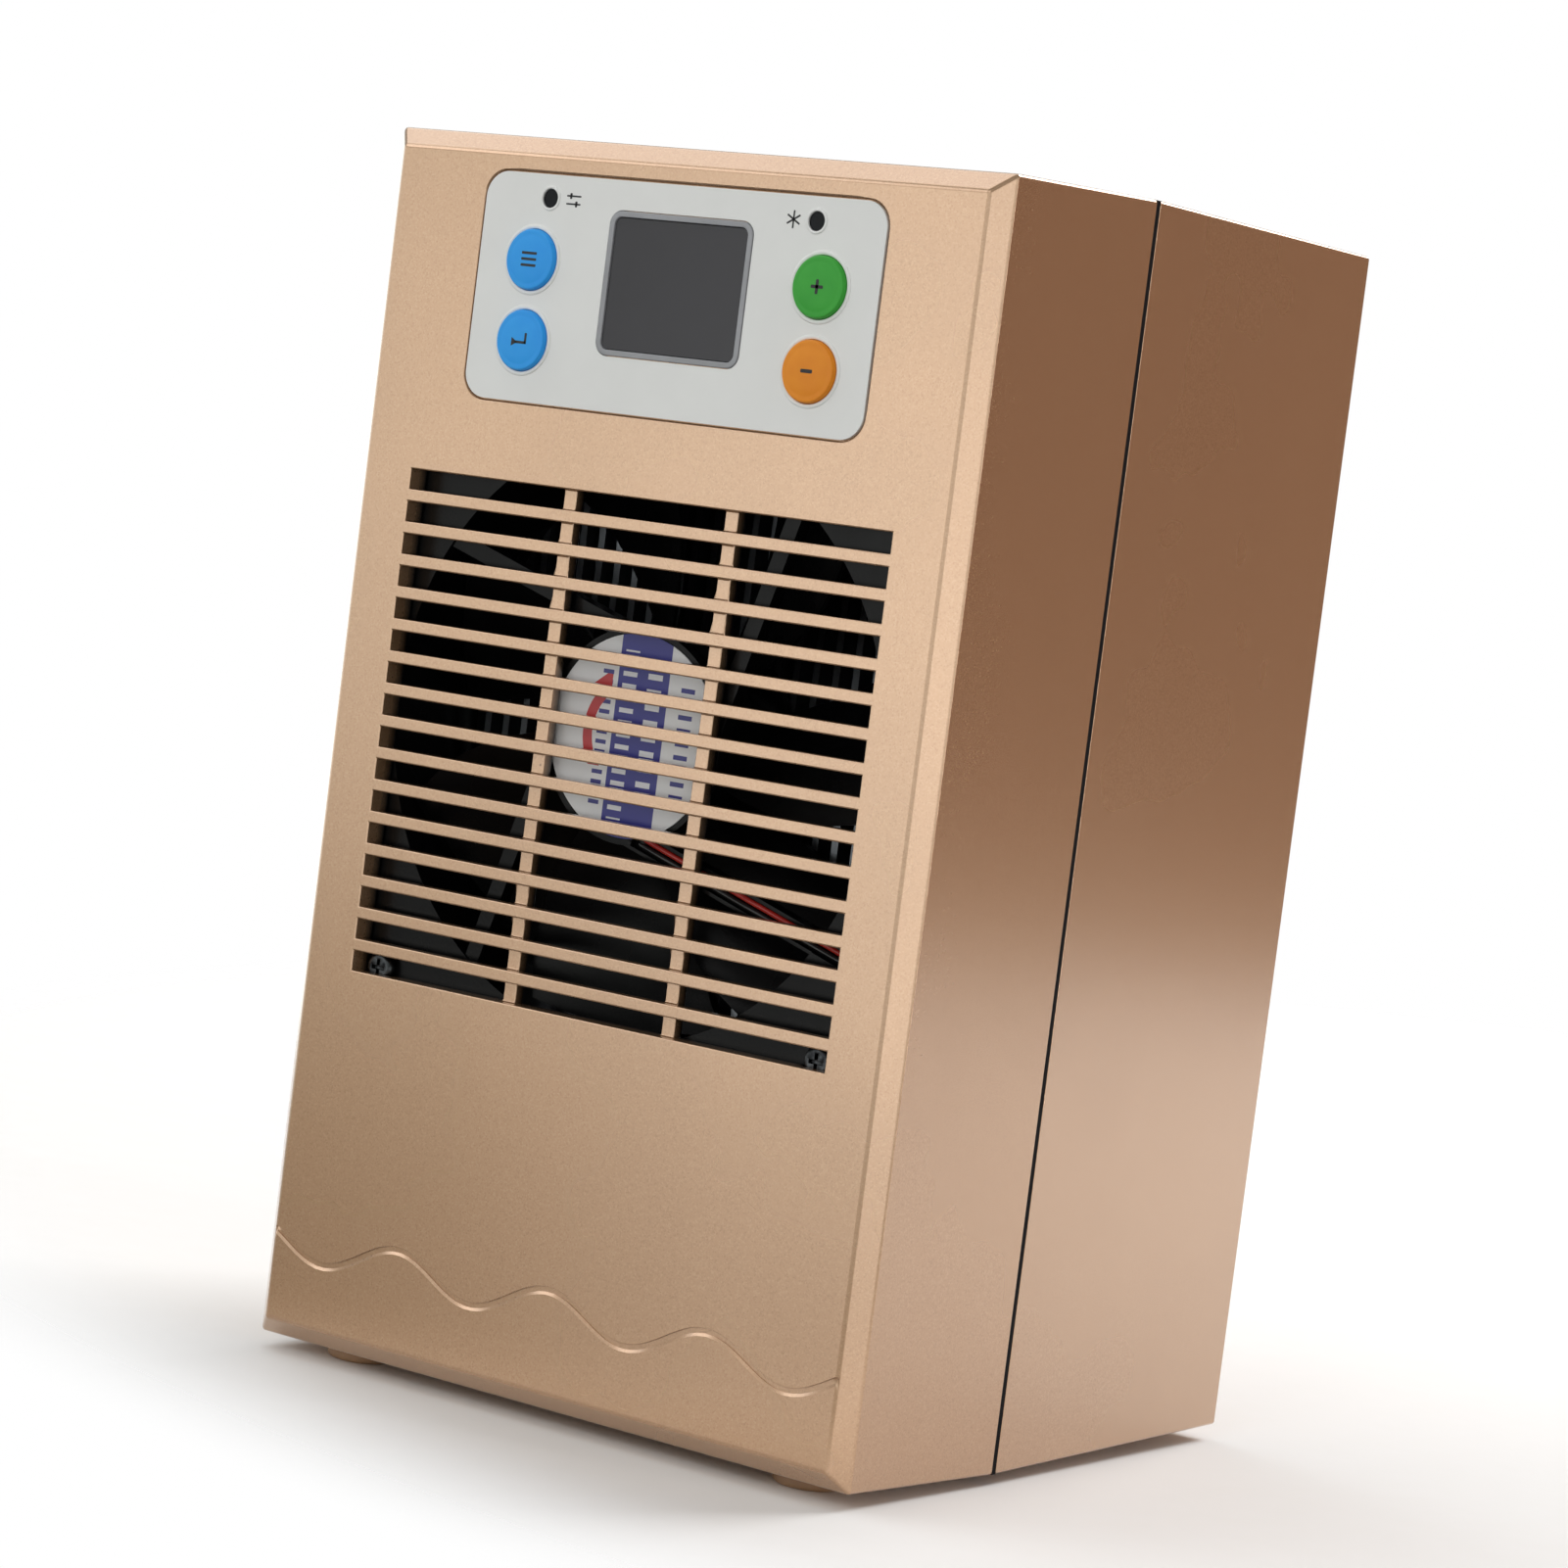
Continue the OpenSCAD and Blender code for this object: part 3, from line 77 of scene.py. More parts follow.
def beginPiece(name):  # names the primitive that was just added and opens it for editing
    piece = bpy.context.object
    piece.name = name
    piece.data.name = name
    bpy.ops.object.transform_apply(location=True, rotation=True, scale=True)
    bpy.ops.object.mode_set(mode="EDIT")
    return piece


def pick(piece, kind, test):  # selects the faces, edges or points that pass the test
    bpy.ops.mesh.select_mode(type=kind)
    bpy.ops.mesh.select_all(action="DESELECT")
    shape = bmesh.from_edit_mesh(piece.data)
    group = {"FACE": shape.faces, "EDGE": shape.edges, "VERT": shape.verts}[kind]
    for part in group:
        if test(part):
            part.select_set(True)
    shape.select_flush_mode()
    bmesh.update_edit_mesh(piece.data)


def shift(x=0, y=0, z=0):     # moves what is selected, millimetres
    bpy.ops.transform.translate(value=(x / 1000, y / 1000, z / 1000))


def applyModifier(piece, kind, **settings):
    modifier = piece.modifiers.new(kind.lower(), kind)
    for key, value in settings.items():
        setattr(modifier, key, value)
    bpy.ops.object.modifier_apply(modifier=modifier.name)


def softenEdges(piece, width, segments=2, angle=34):  # small moulded radius on every sharp edge, flats kept flat
    takeUp(piece)
    applyModifier(
        piece, "BEVEL", width=width / 1000, segments=segments, limit_method="ANGLE",
        angle_limit=math.radians(angle), use_clamp_overlap=True, miter_outer="MITER_ARC",
    )
    bpy.ops.object.shade_smooth()
    applyModifier(piece, "WEIGHTED_NORMAL", mode="FACE_AREA", weight=60, keep_sharp=True)


def runsInDepth(edge):        # an edge that runs from front to back
    return abs((edge.verts[0].co - edge.verts[1].co).normalized().y) > 0.9


def finishPiece(piece, material, body, slotName, *replaced):
    takeUp(piece)
    bpy.ops.object.transform_apply(location=True, rotation=True, scale=True)
    piece.data.materials.clear()
    piece.data.materials.append(material)
    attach(piece, body)
    if replaced:
        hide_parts(*replaced)
    return piece


def copyOfNode(nodeName, name):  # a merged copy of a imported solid, ready to be dressed
    piece = bpy.data.objects.new(name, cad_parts[nodeName].data.copy())
    bpy.context.scene.collection.objects.link(piece)
    takeUp(piece)
    if piece.data.has_custom_normals:
        bpy.ops.mesh.customdata_custom_splitnormals_clear()
    bpy.ops.object.mode_set(mode="EDIT")
    selectWhole()
    bpy.ops.mesh.remove_doubles(threshold=mergeGap)
    closePiece()
    return piece


def turnedPiece(name, x, z, profile, steps=64):  # spins a profile of (depth, radius) round an axis along Y
    deselectAll()
    startDepth, startRadius = profile[0]
    start = atCase(x, startDepth, z) + Vector((startRadius / 1000, 0, 0))
    bpy.ops.mesh.primitive_plane_add(size=0.001, location=start)
    piece = beginPiece(name)
    bpy.ops.mesh.select_mode(type="VERT")
    selectWhole()
    bpy.ops.mesh.merge(type="CENTER")
    selectWhole()
    for before, after in zip(profile, profile[1:]):
        step = ((after[1] - before[1]) / 1000, (after[0] - before[0]) / 1000, 0)
        bpy.ops.mesh.extrude_region_move(TRANSFORM_OT_translate={"value": step})
    selectWhole()
    bpy.ops.mesh.spin(steps=steps, angle=2 * math.pi, center=atCase(x, 0, z), axis=(0, 1, 0))
    selectWhole()
    bpy.ops.mesh.remove_doubles(threshold=mergeGap)
    bpy.ops.mesh.normals_make_consistent(inside=False)
    closePiece()
    return piece


# tools used by every material

def linear(hexValue):         # an sRGB hex value as linear red, green, blue and one
    channels = [int(hexValue[i:i + 2], 16) / 255 for i in (1, 3, 5)]
    return tuple(c / 12.92 if c <= 0.04045 else ((c + 0.055) / 1.055) ** 2.4 for c in channels) + (1,)


def perMillimetre(size):      # texture scale that gives a feature of this size, in object metres
    return 1000 / size


def addNode(tree, kind, settings=None, links=None):  # links take sockets and plain values
    node = tree.nodes.new(kind)
    for key, value in (settings or {}).items():
        if not isinstance(key, int) and hasattr(node, key):
            setattr(node, key, value)
        else:
            node.inputs[key].default_value = value
    for key, source in (links or {}).items():
        if isinstance(source, bpy.types.NodeSocket):
            tree.links.new(source, node.inputs[key])
        else:
            node.inputs[key].default_value = source
    return node


def newMaterial(name):
    material = bpy.data.materials.new(name)
    material.use_nodes = True
    tree = material.node_tree
    tree.nodes.clear()
    shader = addNode(tree, "ShaderNodeBsdfPrincipled")
    addNode(tree, "ShaderNodeOutputMaterial", links={"Surface": shader.outputs["BSDF"]})
    place = addNode(tree, "ShaderNodeTexCoord").outputs["Object"]
    return material, tree, shader, place


colourMix = {"data_type": "RGBA"}  # the mix node's inputs are then 0 share, 6 and 7 colours, and its output is 2


def insideLimits(tree, share, *limits):  # the share where each value is between its limits, millimetres, else nothing
    for value, (low, high) in limits:
        for operation, limit in (("GREATER_THAN", low), ("LESS_THAN", high)):
            test = addNode(tree, "ShaderNodeMath", {"operation": operation}, {0: value, 1: limit / 1000}).outputs[0]
            share = addNode(tree, "ShaderNodeMath", {"operation": "MULTIPLY"}, {0: share, 1: test}).outputs[0]
    return share


# What every surface shares: two tones in soft patches, uneven gloss, and relief
def dressSurface(tree, shader, look, tone, toneLow, wear, spread, relief, distance):
    shade = addNode(tree, "ShaderNodeMapRange", {"From Min": toneLow, "From Max": 0.7}, {"Value": tone.outputs["Fac"]})
    colour = addNode(
        tree, "ShaderNodeMix", colourMix,
        {0: shade.outputs["Result"], 6: linear(look["colour"]), 7: linear(look["second"])}).outputs[2]
    smoothest, dullest = look["roughness"] - spread[0], look["roughness"] + spread[1]
    gloss = addNode(
        tree, "ShaderNodeMapRange", {"From Min": 0.3, "From Max": 0.7, "To Min": smoothest, "To Max": dullest},
        {"Value": wear.outputs["Fac"]},
    )
    bump = addNode(
        tree, "ShaderNodeBump", {"Strength": look["relief"], "Distance": distance}, {"Height": relief.outputs["Fac"]})
    tree.links.new(colour, shader.inputs["Base Color"])
    tree.links.new(gloss.outputs["Result"], shader.inputs["Roughness"])
    tree.links.new(bump.outputs["Normal"], shader.inputs["Normal"])


# Moulded or printed plastic and rubber: faint mottling, a fine grain in the surface, uneven gloss.
# Real grain is mostly too fine to show, so it is drawn as coarse as it needs to be seen.
def plasticMaterial(name, look):
    material, tree, shader, place = newMaterial(name)
    mottle = addNode(
        tree, "ShaderNodeTexNoise", {"Scale": perMillimetre(look["mottle"]), "Detail": 3.0}, {"Vector": place})
    grain = addNode(
        tree, "ShaderNodeTexNoise", {"Scale": perMillimetre(look["grain"]), "Detail": 2.0}, {"Vector": place})
    dressSurface(tree, shader, look, mottle, 0.3, mottle, (0.05, 0.06), grain, look["grain"] / 8000)
    shader.inputs["IOR"].default_value = 1.5  # typical of these plastics
    shader.inputs["Specular IOR Level"].default_value = look.get("shine", 0.5)
    shader.inputs["Coat Weight"].default_value = look.get("coat", 0)
    shader.inputs["Coat Roughness"].default_value = 0.12
    shader.inputs["Subsurface Weight"].default_value = look.get("subsurface", 0)
    shader.inputs["Subsurface Radius"].default_value = (0.002, 0.002, 0.002)  # light spreads about 2 mm
    return material


# Bare or plated metal: lines left by the tool along one direction, tarnish in soft patches.
# Real tool lines are finer still, and are drawn coarser so that they show.
def metalMaterial(name, look):
    material, tree, shader, place = newMaterial(name)
    stretch = addNode(tree, "ShaderNodeMapping", {"Scale": look["stretch"]}, {"Vector": place})
    lines = addNode(
        tree, "ShaderNodeTexNoise", {"Scale": perMillimetre(look["line"]), "Detail": 3.0},
        {"Vector": stretch.outputs["Vector"]},
    )
    patches = addNode(
        tree, "ShaderNodeTexNoise", {"Scale": perMillimetre(look["patch"]), "Detail": 4.0}, {"Vector": place})
    dressSurface(tree, shader, look, patches, 0.35, lines, (0.06, 0.08), lines, look["line"] / 6000)
    shader.inputs["Metallic"].default_value = 1.0
    return material


# camera

cameraPlan = {
    "place": (0.51544, -0.75157, 0.18352),
    "right": (0.80593, 0.57875, 0.12461),
    "up": (-0.14062, -0.01731, 0.98991),
    "back": (0.57507, -0.81532, 0.06743),
    "lens": 104.71, "sensor": 36, "near": 0.02, "far": 30,
}
deselectAll()
bpy.ops.object.camera_add(location=cameraPlan["place"])
camera = bpy.context.object
camera.name = "productCamera"
camera.data.lens = cameraPlan["lens"]
camera.data.sensor_width = cameraPlan["sensor"]
camera.data.clip_start = cameraPlan["near"]
camera.data.clip_end = cameraPlan["far"]
axes = [Vector(cameraPlan[key]).normalized() for key in ("right", "up", "back")]
camera.matrix_world = Matrix.Translation(Vector(cameraPlan["place"])) @ Matrix(axes).transposed().to_4x4()
bpy.context.scene.camera = camera
print("stage: camera placed")


# floor, world and lights

floorPlan = {  # metres, but the fibre in mm: real fibres don't show, so only their soft mottling is drawn
    "size": 1.36, "place": (0.12, 0.45, 0), "solidRadius": 0.545, "fadeRadius": 0.62,
    "fibre": 9, "tone": "#F9F9F8", "second": "#FCFCFC", "roughness": 0.9, "shine": 0.1,
}
deselectAll()
bpy.ops.mesh.primitive_plane_add(size=floorPlan["size"], location=floorPlan["place"])
floor = bpy.context.object
floor.name = "studioFloor"
floorPaper, tree, shader, place = newMaterial("matWhitePaperSweep")  # matt paper: no gloss, faint fibre mottling
fibre = addNode(
    tree, "ShaderNodeTexNoise", {"Scale": perMillimetre(floorPlan["fibre"]), "Detail": 4.0}, {"Vector": place})
paperTone = addNode(
    tree, "ShaderNodeMix", colourMix,
    {0: fibre.outputs["Fac"], 6: linear(floorPlan["tone"]), 7: linear(floorPlan["second"])}).outputs[2]
tree.links.new(paperTone, shader.inputs["Base Color"])
shader.inputs["Roughness"].default_value = floorPlan["roughness"]
shader.inputs["Specular IOR Level"].default_value = floorPlan["shine"]
fromMiddle = addNode(tree, "ShaderNodeVectorMath", {"operation": "LENGTH"}, {0: place})
fade = addNode(
    tree, "ShaderNodeMapRange",
    {"interpolation_type": "SMOOTHSTEP", "From Min": floorPlan["fadeRadius"], "From Max": floorPlan["solidRadius"]},
    {"Value": fromMiddle.outputs["Value"]},
)
tree.links.new(fade.outputs["Result"], shader.inputs["Alpha"])
floor.data.materials.append(floorPaper)

world = bpy.data.worlds.new("softStudio")
bpy.context.scene.world = world
world.use_nodes = True
sky = world.node_tree
sky.nodes.clear()
worldPlan = {
    "white": (1.0, 1.0, 1.0, 1),      # what stands behind the object
    "open": (0.40, 0.41, 0.40, 1),    # the light walls of the studio
    "above": (0.27, 0.28, 0.28, 1),   # the ceiling
    "dark": (0.21, 0.102, 0.064, 1),  # the unlit end of the studio, mirrored by the right side
    "low": (1.43, 1.46, 1.40, 1),     # the bright foot of the walls
    "under": (0.08, 0.08, 0.08, 1),   # the unlit space under the table
    "shade": (0.02, 0.02, 0.02, 1),   # the shaded table edge, mirrored by the lower left of the front
    "bands": (("low", 0.16, 0.04), ("under", -0.12, -0.18), ("above", 0.45, 0.85)),  # zone, begins, is full
    "darkWay": (0.60, 0.80, 0.05), "darkFrom": 0.30, "darkTo": 0.80,
    "shadeWay": (-0.66, -0.66, -0.36), "shadeFrom": 0.950, "shadeTo": 0.972,
}
way = addNode(sky, "ShaderNodeTexCoord").outputs["Generated"]
roomTone = worldPlan["open"]
height = addNode(sky, "ShaderNodeSeparateXYZ", links={"Vector": way})
for zone, start, full in worldPlan["bands"]:
    zoneShare = addNode(
        sky, "ShaderNodeMapRange", {"interpolation_type": "SMOOTHSTEP", "From Min": start, "From Max": full},
        {"Value": height.outputs["Z"]},
    )
    mixLinks = {0: zoneShare.outputs["Result"], 6: roomTone, 7: worldPlan[zone]}
    roomTone = addNode(sky, "ShaderNodeMix", colourMix, mixLinks).outputs[2]
for zone in ("dark", "shade"):
    towards = addNode(sky, "ShaderNodeVectorMath", {"operation": "DOT_PRODUCT", 1: worldPlan[zone + "Way"]}, {0: way})
    zoneShare = addNode(
        sky, "ShaderNodeMapRange",
        {"interpolation_type": "SMOOTHSTEP", "From Min": worldPlan[zone + "From"], "From Max": worldPlan[zone + "To"]},
        {"Value": towards.outputs["Value"]},
    )
    mixLinks = {0: zoneShare.outputs["Result"], 6: roomTone, 7: worldPlan[zone]}
    roomTone = addNode(sky, "ShaderNodeMix", colourMix, mixLinks).outputs[2]
seen = addNode(sky, "ShaderNodeLightPath").outputs["Is Camera Ray"]
backdropTone = addNode(sky, "ShaderNodeMix", colourMix, {0: seen, 6: roomTone, 7: worldPlan["white"]}).outputs[2]
backdrop = addNode(sky, "ShaderNodeBackground", {"Strength": 1.0}, {"Color": backdropTone})
addNode(sky, "ShaderNodeOutputWorld", links={"Surface": backdrop.outputs["Background"]})

lightPlan = {
    # name: place, aim, width, height, watts
    "frontSoftbox": ((-0.80, -1.75, 0.36), (0, 0, 0.12), 0.80, 1.7, 3.0),
    "leftSoftbox": ((-1.15, -1.05, 1.05), (0, 0, 0.15), 0.7, 0.7, 3.2),
    "panelFill": ((0.2, -1.6, 1.0), (0, 0, 0.15), 0.8, 0.8, 3.2),
    "topSoftbox": ((-0.7, 0.0, 1.5), (0, 0, 0.1), 1.2, 1.2, 6.3),
    "backSoftbox": ((0.3, 1.3, 1.35), (0, 0, 0), 0.9, 0.9, 24.0),
    "rightFill": ((1.5, -1.1, 0.06), (0, 0, 0.1), 0.4, 0.9, 1.32),
    "edgeStrip": ((1.6, 0.28, 0.16), (0, 0, 0.1), 0.10, 0.9, 4.8),
}
for name, (spot, aim, width, height, watts) in lightPlan.items():
    deselectAll()
    bpy.ops.object.light_add(type="AREA", location=spot)
    lamp = bpy.context.object
    lamp.name = name
    lamp.data.shape = "RECTANGLE"
    lamp.data.size = width
    lamp.data.size_y = height
    lamp.data.energy = watts
    lamp.rotation_euler = (Vector(aim) - Vector(spot)).to_track_quat("-Z", "Y").to_euler()
bpy.context.scene.view_settings.view_transform = "Standard"
print("stage: floor, world and lights set")


# materials

paintPlan = {  # sizes in mm; real flakes are under 0.1 mm and wouldn't show, so they are drawn coarser
    "body": "#BE9671", "flake": "#DAB894", "deep": "#946B48", "speck": "#4A3628", "bareWallAndShade": "#2A211B",
    "flakeSize": 0.30, "peelSize": 2.2, "cloudSize": 55, "speckPitch": 17, "speckSize": 0.35,
    "flakeShare": 0.26, "dullShare": 0.28, "cloudShare": 0.12, "speckShare": 0.7,
    "wallStart": 2.6, "wallEnd": 4.6,  # depth over which the paint in the slots runs out into bare plastic and painted shade, mm
    "slotX": (-66, 66), "slotY": (-77.4, 54), "slotZ": (6, 236.5),  # room inside the outer walls, row frame, mm
    "peelBump": 0.04, "flakeBump": 0.05, "roughness": (0.23, 0.31),
    "metallic": 0.62, "coatIor": 1.75, "coatRoughness": 0.18,
}


def satinGoldPaint():  # metallic paint sprayed on ABS: soft sheen, glitter of fine flakes, slight orange peel
    material, tree, shader, place = newMaterial("satinGoldPaint")
    plan = paintPlan
    flakes = addNode(tree, "ShaderNodeTexVoronoi", {"Scale": perMillimetre(plan["flakeSize"])}, {"Vector": place})
    flakeTone = addNode(tree, "ShaderNodeSeparateColor", links={"Color": flakes.outputs["Color"]})
    bright = addNode(
        tree, "ShaderNodeMapRange", {"From Min": 0.55, "From Max": 1.0, "To Max": plan["flakeShare"]},
        {"Value": flakeTone.outputs[0]},
    )
    dull = addNode(
        tree, "ShaderNodeMapRange", {"From Min": 0.72, "From Max": 1.0, "To Max": plan["dullShare"]},
        {"Value": flakeTone.outputs[1]},
    )
    cloud = addNode(
        tree, "ShaderNodeTexNoise", {"Scale": perMillimetre(plan["cloudSize"]), "Detail": 3.0}, {"Vector": place})
    clouded = addNode(
        tree, "ShaderNodeMapRange", {"From Min": 0.35, "From Max": 0.75, "To Max": plan["cloudShare"]},
        {"Value": cloud.outputs["Fac"]},
    )
    specks = addNode(tree, "ShaderNodeTexVoronoi", {"Scale": perMillimetre(plan["speckPitch"])}, {"Vector": place})
    speckEdge = plan["speckSize"] / plan["speckPitch"]
    specked = addNode(
        tree, "ShaderNodeMapRange", {"From Min": speckEdge, "From Max": 0.4 * speckEdge, "To Max": plan["speckShare"]},
        {"Value": specks.outputs["Distance"]},
    )
    # overspray thins out on the walls inside the slots, and deeper in their colour darkens into painted shade
    spot = addNode(tree, "ShaderNodeSeparateXYZ", links={"Vector": place}).outputs
    deep = addNode(
        tree, "ShaderNodeMapRange",
        {"From Min": (plan["wallStart"] + caseFront) / 1000, "From Max": (plan["wallEnd"] + caseFront) / 1000},
        {"Value": spot["Y"]},
    )
    facing = addNode(tree, "ShaderNodeNewGeometry").outputs["Normal"]
    normal = addNode(tree, "ShaderNodeSeparateXYZ", links={"Vector": facing}).outputs
    sideways = addNode(tree, "ShaderNodeMapRange", {"From Min": -0.6, "From Max": -0.2}, {"Value": normal["Y"]})
    wallShadeShare = addNode(
        tree, "ShaderNodeMath", {"operation": "MULTIPLY"}, {0: deep.outputs["Result"], 1: sideways.outputs["Result"]})
    bareAndShadeShare = insideLimits(
        tree, wallShadeShare.outputs[0], (spot["X"], plan["slotX"]), (spot["Y"], plan["slotY"]), (spot["Z"], plan["slotZ"]))
    colour = linear(plan["body"])
    # the last tone darkens the slot walls: partly bare plastic, partly painted shade
    for share, tone in (
        (bright.outputs["Result"], "flake"), (dull.outputs["Result"], "deep"), (clouded.outputs["Result"], "deep"),
        (specked.outputs["Result"], "speck"), (bareAndShadeShare, "bareWallAndShade"),
    ):
        colour = addNode(tree, "ShaderNodeMix", colourMix, {0: share, 6: colour, 7: linear(plan[tone])}).outputs[2]
    peel = addNode(
        tree, "ShaderNodeTexNoise", {"Scale": perMillimetre(plan["peelSize"]), "Detail": 1.0}, {"Vector": place})
    peelBump = addNode(
        tree, "ShaderNodeBump", {"Strength": plan["peelBump"], "Distance": 0.00006}, {"Height": peel.outputs["Fac"]})
    flakeBump = addNode(
        tree, "ShaderNodeBump", {"Strength": plan["flakeBump"], "Distance": 0.00003},
        {"Height": flakeTone.outputs[2], "Normal": peelBump.outputs["Normal"]},
    )
    smoothest, dullest = plan["roughness"]
    gloss = addNode(
        tree, "ShaderNodeMapRange", {"To Min": smoothest, "To Max": dullest}, {"Value": cloud.outputs["Fac"]})
    tree.links.new(colour, shader.inputs["Base Color"])
    tree.links.new(gloss.outputs["Result"], shader.inputs["Roughness"])
    tree.links.new(flakeBump.outputs["Normal"], shader.inputs["Normal"])
    shader.inputs["Metallic"].default_value = plan["metallic"]
    shader.inputs["Coat Weight"].default_value = 1.0
    shader.inputs["Coat IOR"].default_value = plan["coatIor"]
    shader.inputs["Coat Roughness"].default_value = plan["coatRoughness"]
    return material


goldPaint = satinGoldPaint()

# black rubber: dull, with a dusty bloom
gasketRubber = plasticMaterial("blackGasketRubber", {
    "colour": "#08080A", "second": "#0E0E10", "mottle": 6, "grain": 0.35,
    "roughness": 0.62, "relief": 0.3, "shine": 0.1})
footRubber = plasticMaterial("tanMouldedFoot", {  # moulded rubber: tan, dull, a little uneven
    "colour": "#8F6E52", "second": "#A58263", "mottle": 5, "grain": 0.3, "roughness": 0.5, "relief": 0.25})
# polycarbonate overlay film: light grey, silk surface with a very fine tooth
overlayFilm = plasticMaterial("silkGreyOverlayFilm", {
    "colour": "#EBEBE9", "second": "#F0F0EE", "mottle": 14, "grain": 0.32, "roughness": 0.45, "relief": 0.22})
frameAbs = plasticMaterial("greyPrintedFrame", {  # printed frame: even grey with a thin varnish sheen
    "colour": "#8F9094", "second": "#A0A1A6", "mottle": 9, "grain": 0.3,
    "roughness": 0.4, "relief": 0.2, "coat": 0.2})
# smoked acrylic: nearly black inside, clean gloss on top
smokedAcrylic = plasticMaterial("smokedAcrylic", {
    "colour": "#38373B", "second": "#403F43", "mottle": 22, "grain": 1.6,
    "roughness": 0.16, "relief": 0.02, "shine": 0.22})
moduleBlack = plasticMaterial("blackDisplayCell", {  # display cell: black with a quiet gloss
    "colour": "#141416", "second": "#1B1B1E", "mottle": 8, "grain": 0.4, "roughness": 0.35, "relief": 0.1})
lampLens = plasticMaterial("darkLampLens", {  # tinted lens, unlit: dark, with small sharp highlights
    "colour": "#101215", "second": "#181B1F", "mottle": 1.5, "grain": 0.4,
    "roughness": 0.2, "relief": 0.05, "shine": 0.1})
# dyed polycarbonate film: strong colour under a silk sheen
keyFilm = {"mottle": 4, "grain": 0.3, "roughness": 0.46, "relief": 0.2, "shine": 0.3}
blueKey = plasticMaterial("blueKeyFilm", {"colour": "#29A0F8", "second": "#35A8FA", **keyFilm})
greenKey = plasticMaterial("greenKeyFilm", {"colour": "#36A636", "second": "#41AE3E", **keyFilm})
orangeKey = plasticMaterial("orangeKeyFilm", {"colour": "#EC8C18", "second": "#F29624", **keyFilm})
keyInk = plasticMaterial("blackScreenInk", {  # screen ink: flat black, hardly any sheen
    "colour": "#17171B", "second": "#202025", "mottle": 0.8, "grain": 0.2, "roughness": 0.5, "relief": 0.1})
whiteInk = plasticMaterial("whitePadInk", {  # pad ink: flat off-white
    "colour": "#DCDCD8", "second": "#E6E6E2", "mottle": 0.8, "grain": 0.2, "roughness": 0.5, "relief": 0.1})
# glass-filled PBT: black with a wet gloss on the moulded faces
fanPlastic = plasticMaterial("glossBlackPbt", {
    "colour": "#070708", "second": "#0D0D0E", "mottle": 12, "grain": 0.7,
    "roughness": 0.26, "relief": 0.12, "shine": 0.14})
blackAbs = plasticMaterial("blackMouldedAbs", {  # moulded ABS: soft black sheen over a fine grain
    "colour": "#161617", "second": "#202022", "mottle": 7, "grain": 0.35, "roughness": 0.42, "relief": 0.25})
blackNylon = plasticMaterial("blackGlassNylon", {  # glass-filled nylon: greyish black, dry and slightly rough
    "colour": "#141415", "second": "#222224", "mottle": 4, "grain": 0.25, "roughness": 0.46, "relief": 0.35})
switchPlastic = plasticMaterial("blackSwitchNylon", {  # polished nylon: deeper black, clearer highlights
    "colour": "#121214", "second": "#1B1B1E", "mottle": 6, "grain": 0.3,
    "roughness": 0.3, "relief": 0.15, "coat": 0.2})
solderMask = plasticMaterial("greenSolderMask", {  # solder mask over copper: wet green gloss, slightly wavy
    "colour": "#14532B", "second": "#1F6E3B", "mottle": 3, "grain": 0.9,
    "roughness": 0.3, "relief": 0.2, "coat": 0.3})
chipEpoxy = plasticMaterial("mouldedChipEpoxy", {  # moulded epoxy: flat charcoal with a fine tooth
    "colour": "#1A1A1B", "second": "#262627", "mottle": 3, "grain": 0.15, "roughness": 0.6, "relief": 0.3})
capacitorSleeve = plasticMaterial("blueShrinkSleeve", {  # shrunk sleeve: dark blue, tight and shiny
    "colour": "#232C4A", "second": "#2D3860", "mottle": 5, "grain": 0.6,
    "roughness": 0.28, "relief": 0.1, "coat": 0.2})
naturalNylon = plasticMaterial("naturalNylon", {  # natural nylon: ivory, light sinks in a little
    "colour": "#E2DCCB", "second": "#EFEADD", "mottle": 4, "grain": 0.4,
    "roughness": 0.4, "relief": 0.15, "subsurface": 0.2})
milkyLamp = plasticMaterial("milkyLampEpoxy", {  # diffusing epoxy: milky white, light sinks in
    "colour": "#D3D6D8", "second": "#E2E4E6", "mottle": 2, "grain": 0.5,
    "roughness": 0.2, "relief": 0.05, "subsurface": 0.3})
redPvc = plasticMaterial("redPvcInsulation", {  # PVC insulation: red with a waxy shine
    "colour": "#A51E18", "second": "#BC2C22", "mottle": 6, "grain": 0.4,
    "roughness": 0.36, "relief": 0.15, "coat": 0.2})
blackPvc = plasticMaterial("blackPvcInsulation", {  # PVC insulation: black with a waxy shine
    "colour": "#101011", "second": "#1A1A1B", "mottle": 6, "grain": 0.4,
    "roughness": 0.34, "relief": 0.15, "coat": 0.2})
alumina = plasticMaterial("whiteAlumina", {  # fired alumina: chalky off-white
    "colour": "#DAD8CF", "second": "#E8E6DE", "mottle": 4, "grain": 0.2, "roughness": 0.6, "relief": 0.3})
foamRubber = plasticMaterial("blackCellFoam", {  # closed-cell foam: matt, pitted black
    "colour": "#161617", "second": "#2A2A2B", "mottle": 1.2, "grain": 0.9, "roughness": 0.85, "relief": 0.9})
siliconeHose = plasticMaterial("milkySiliconeHose", {  # silicone rubber: milky, light sinks in, soft sheen
    "colour": "#CDD2CE", "second": "#DBDFDB", "mottle": 8, "grain": 0.8,
    "roughness": 0.33, "relief": 0.08, "subsurface": 0.35})
ferrite = plasticMaterial("greyBondedFerrite", {  # bonded ferrite: dull dark grey, slightly grainy
    "colour": "#2C2C2E", "second": "#3C3C3F", "mottle": 2, "grain": 0.3, "roughness": 0.55, "relief": 0.3})

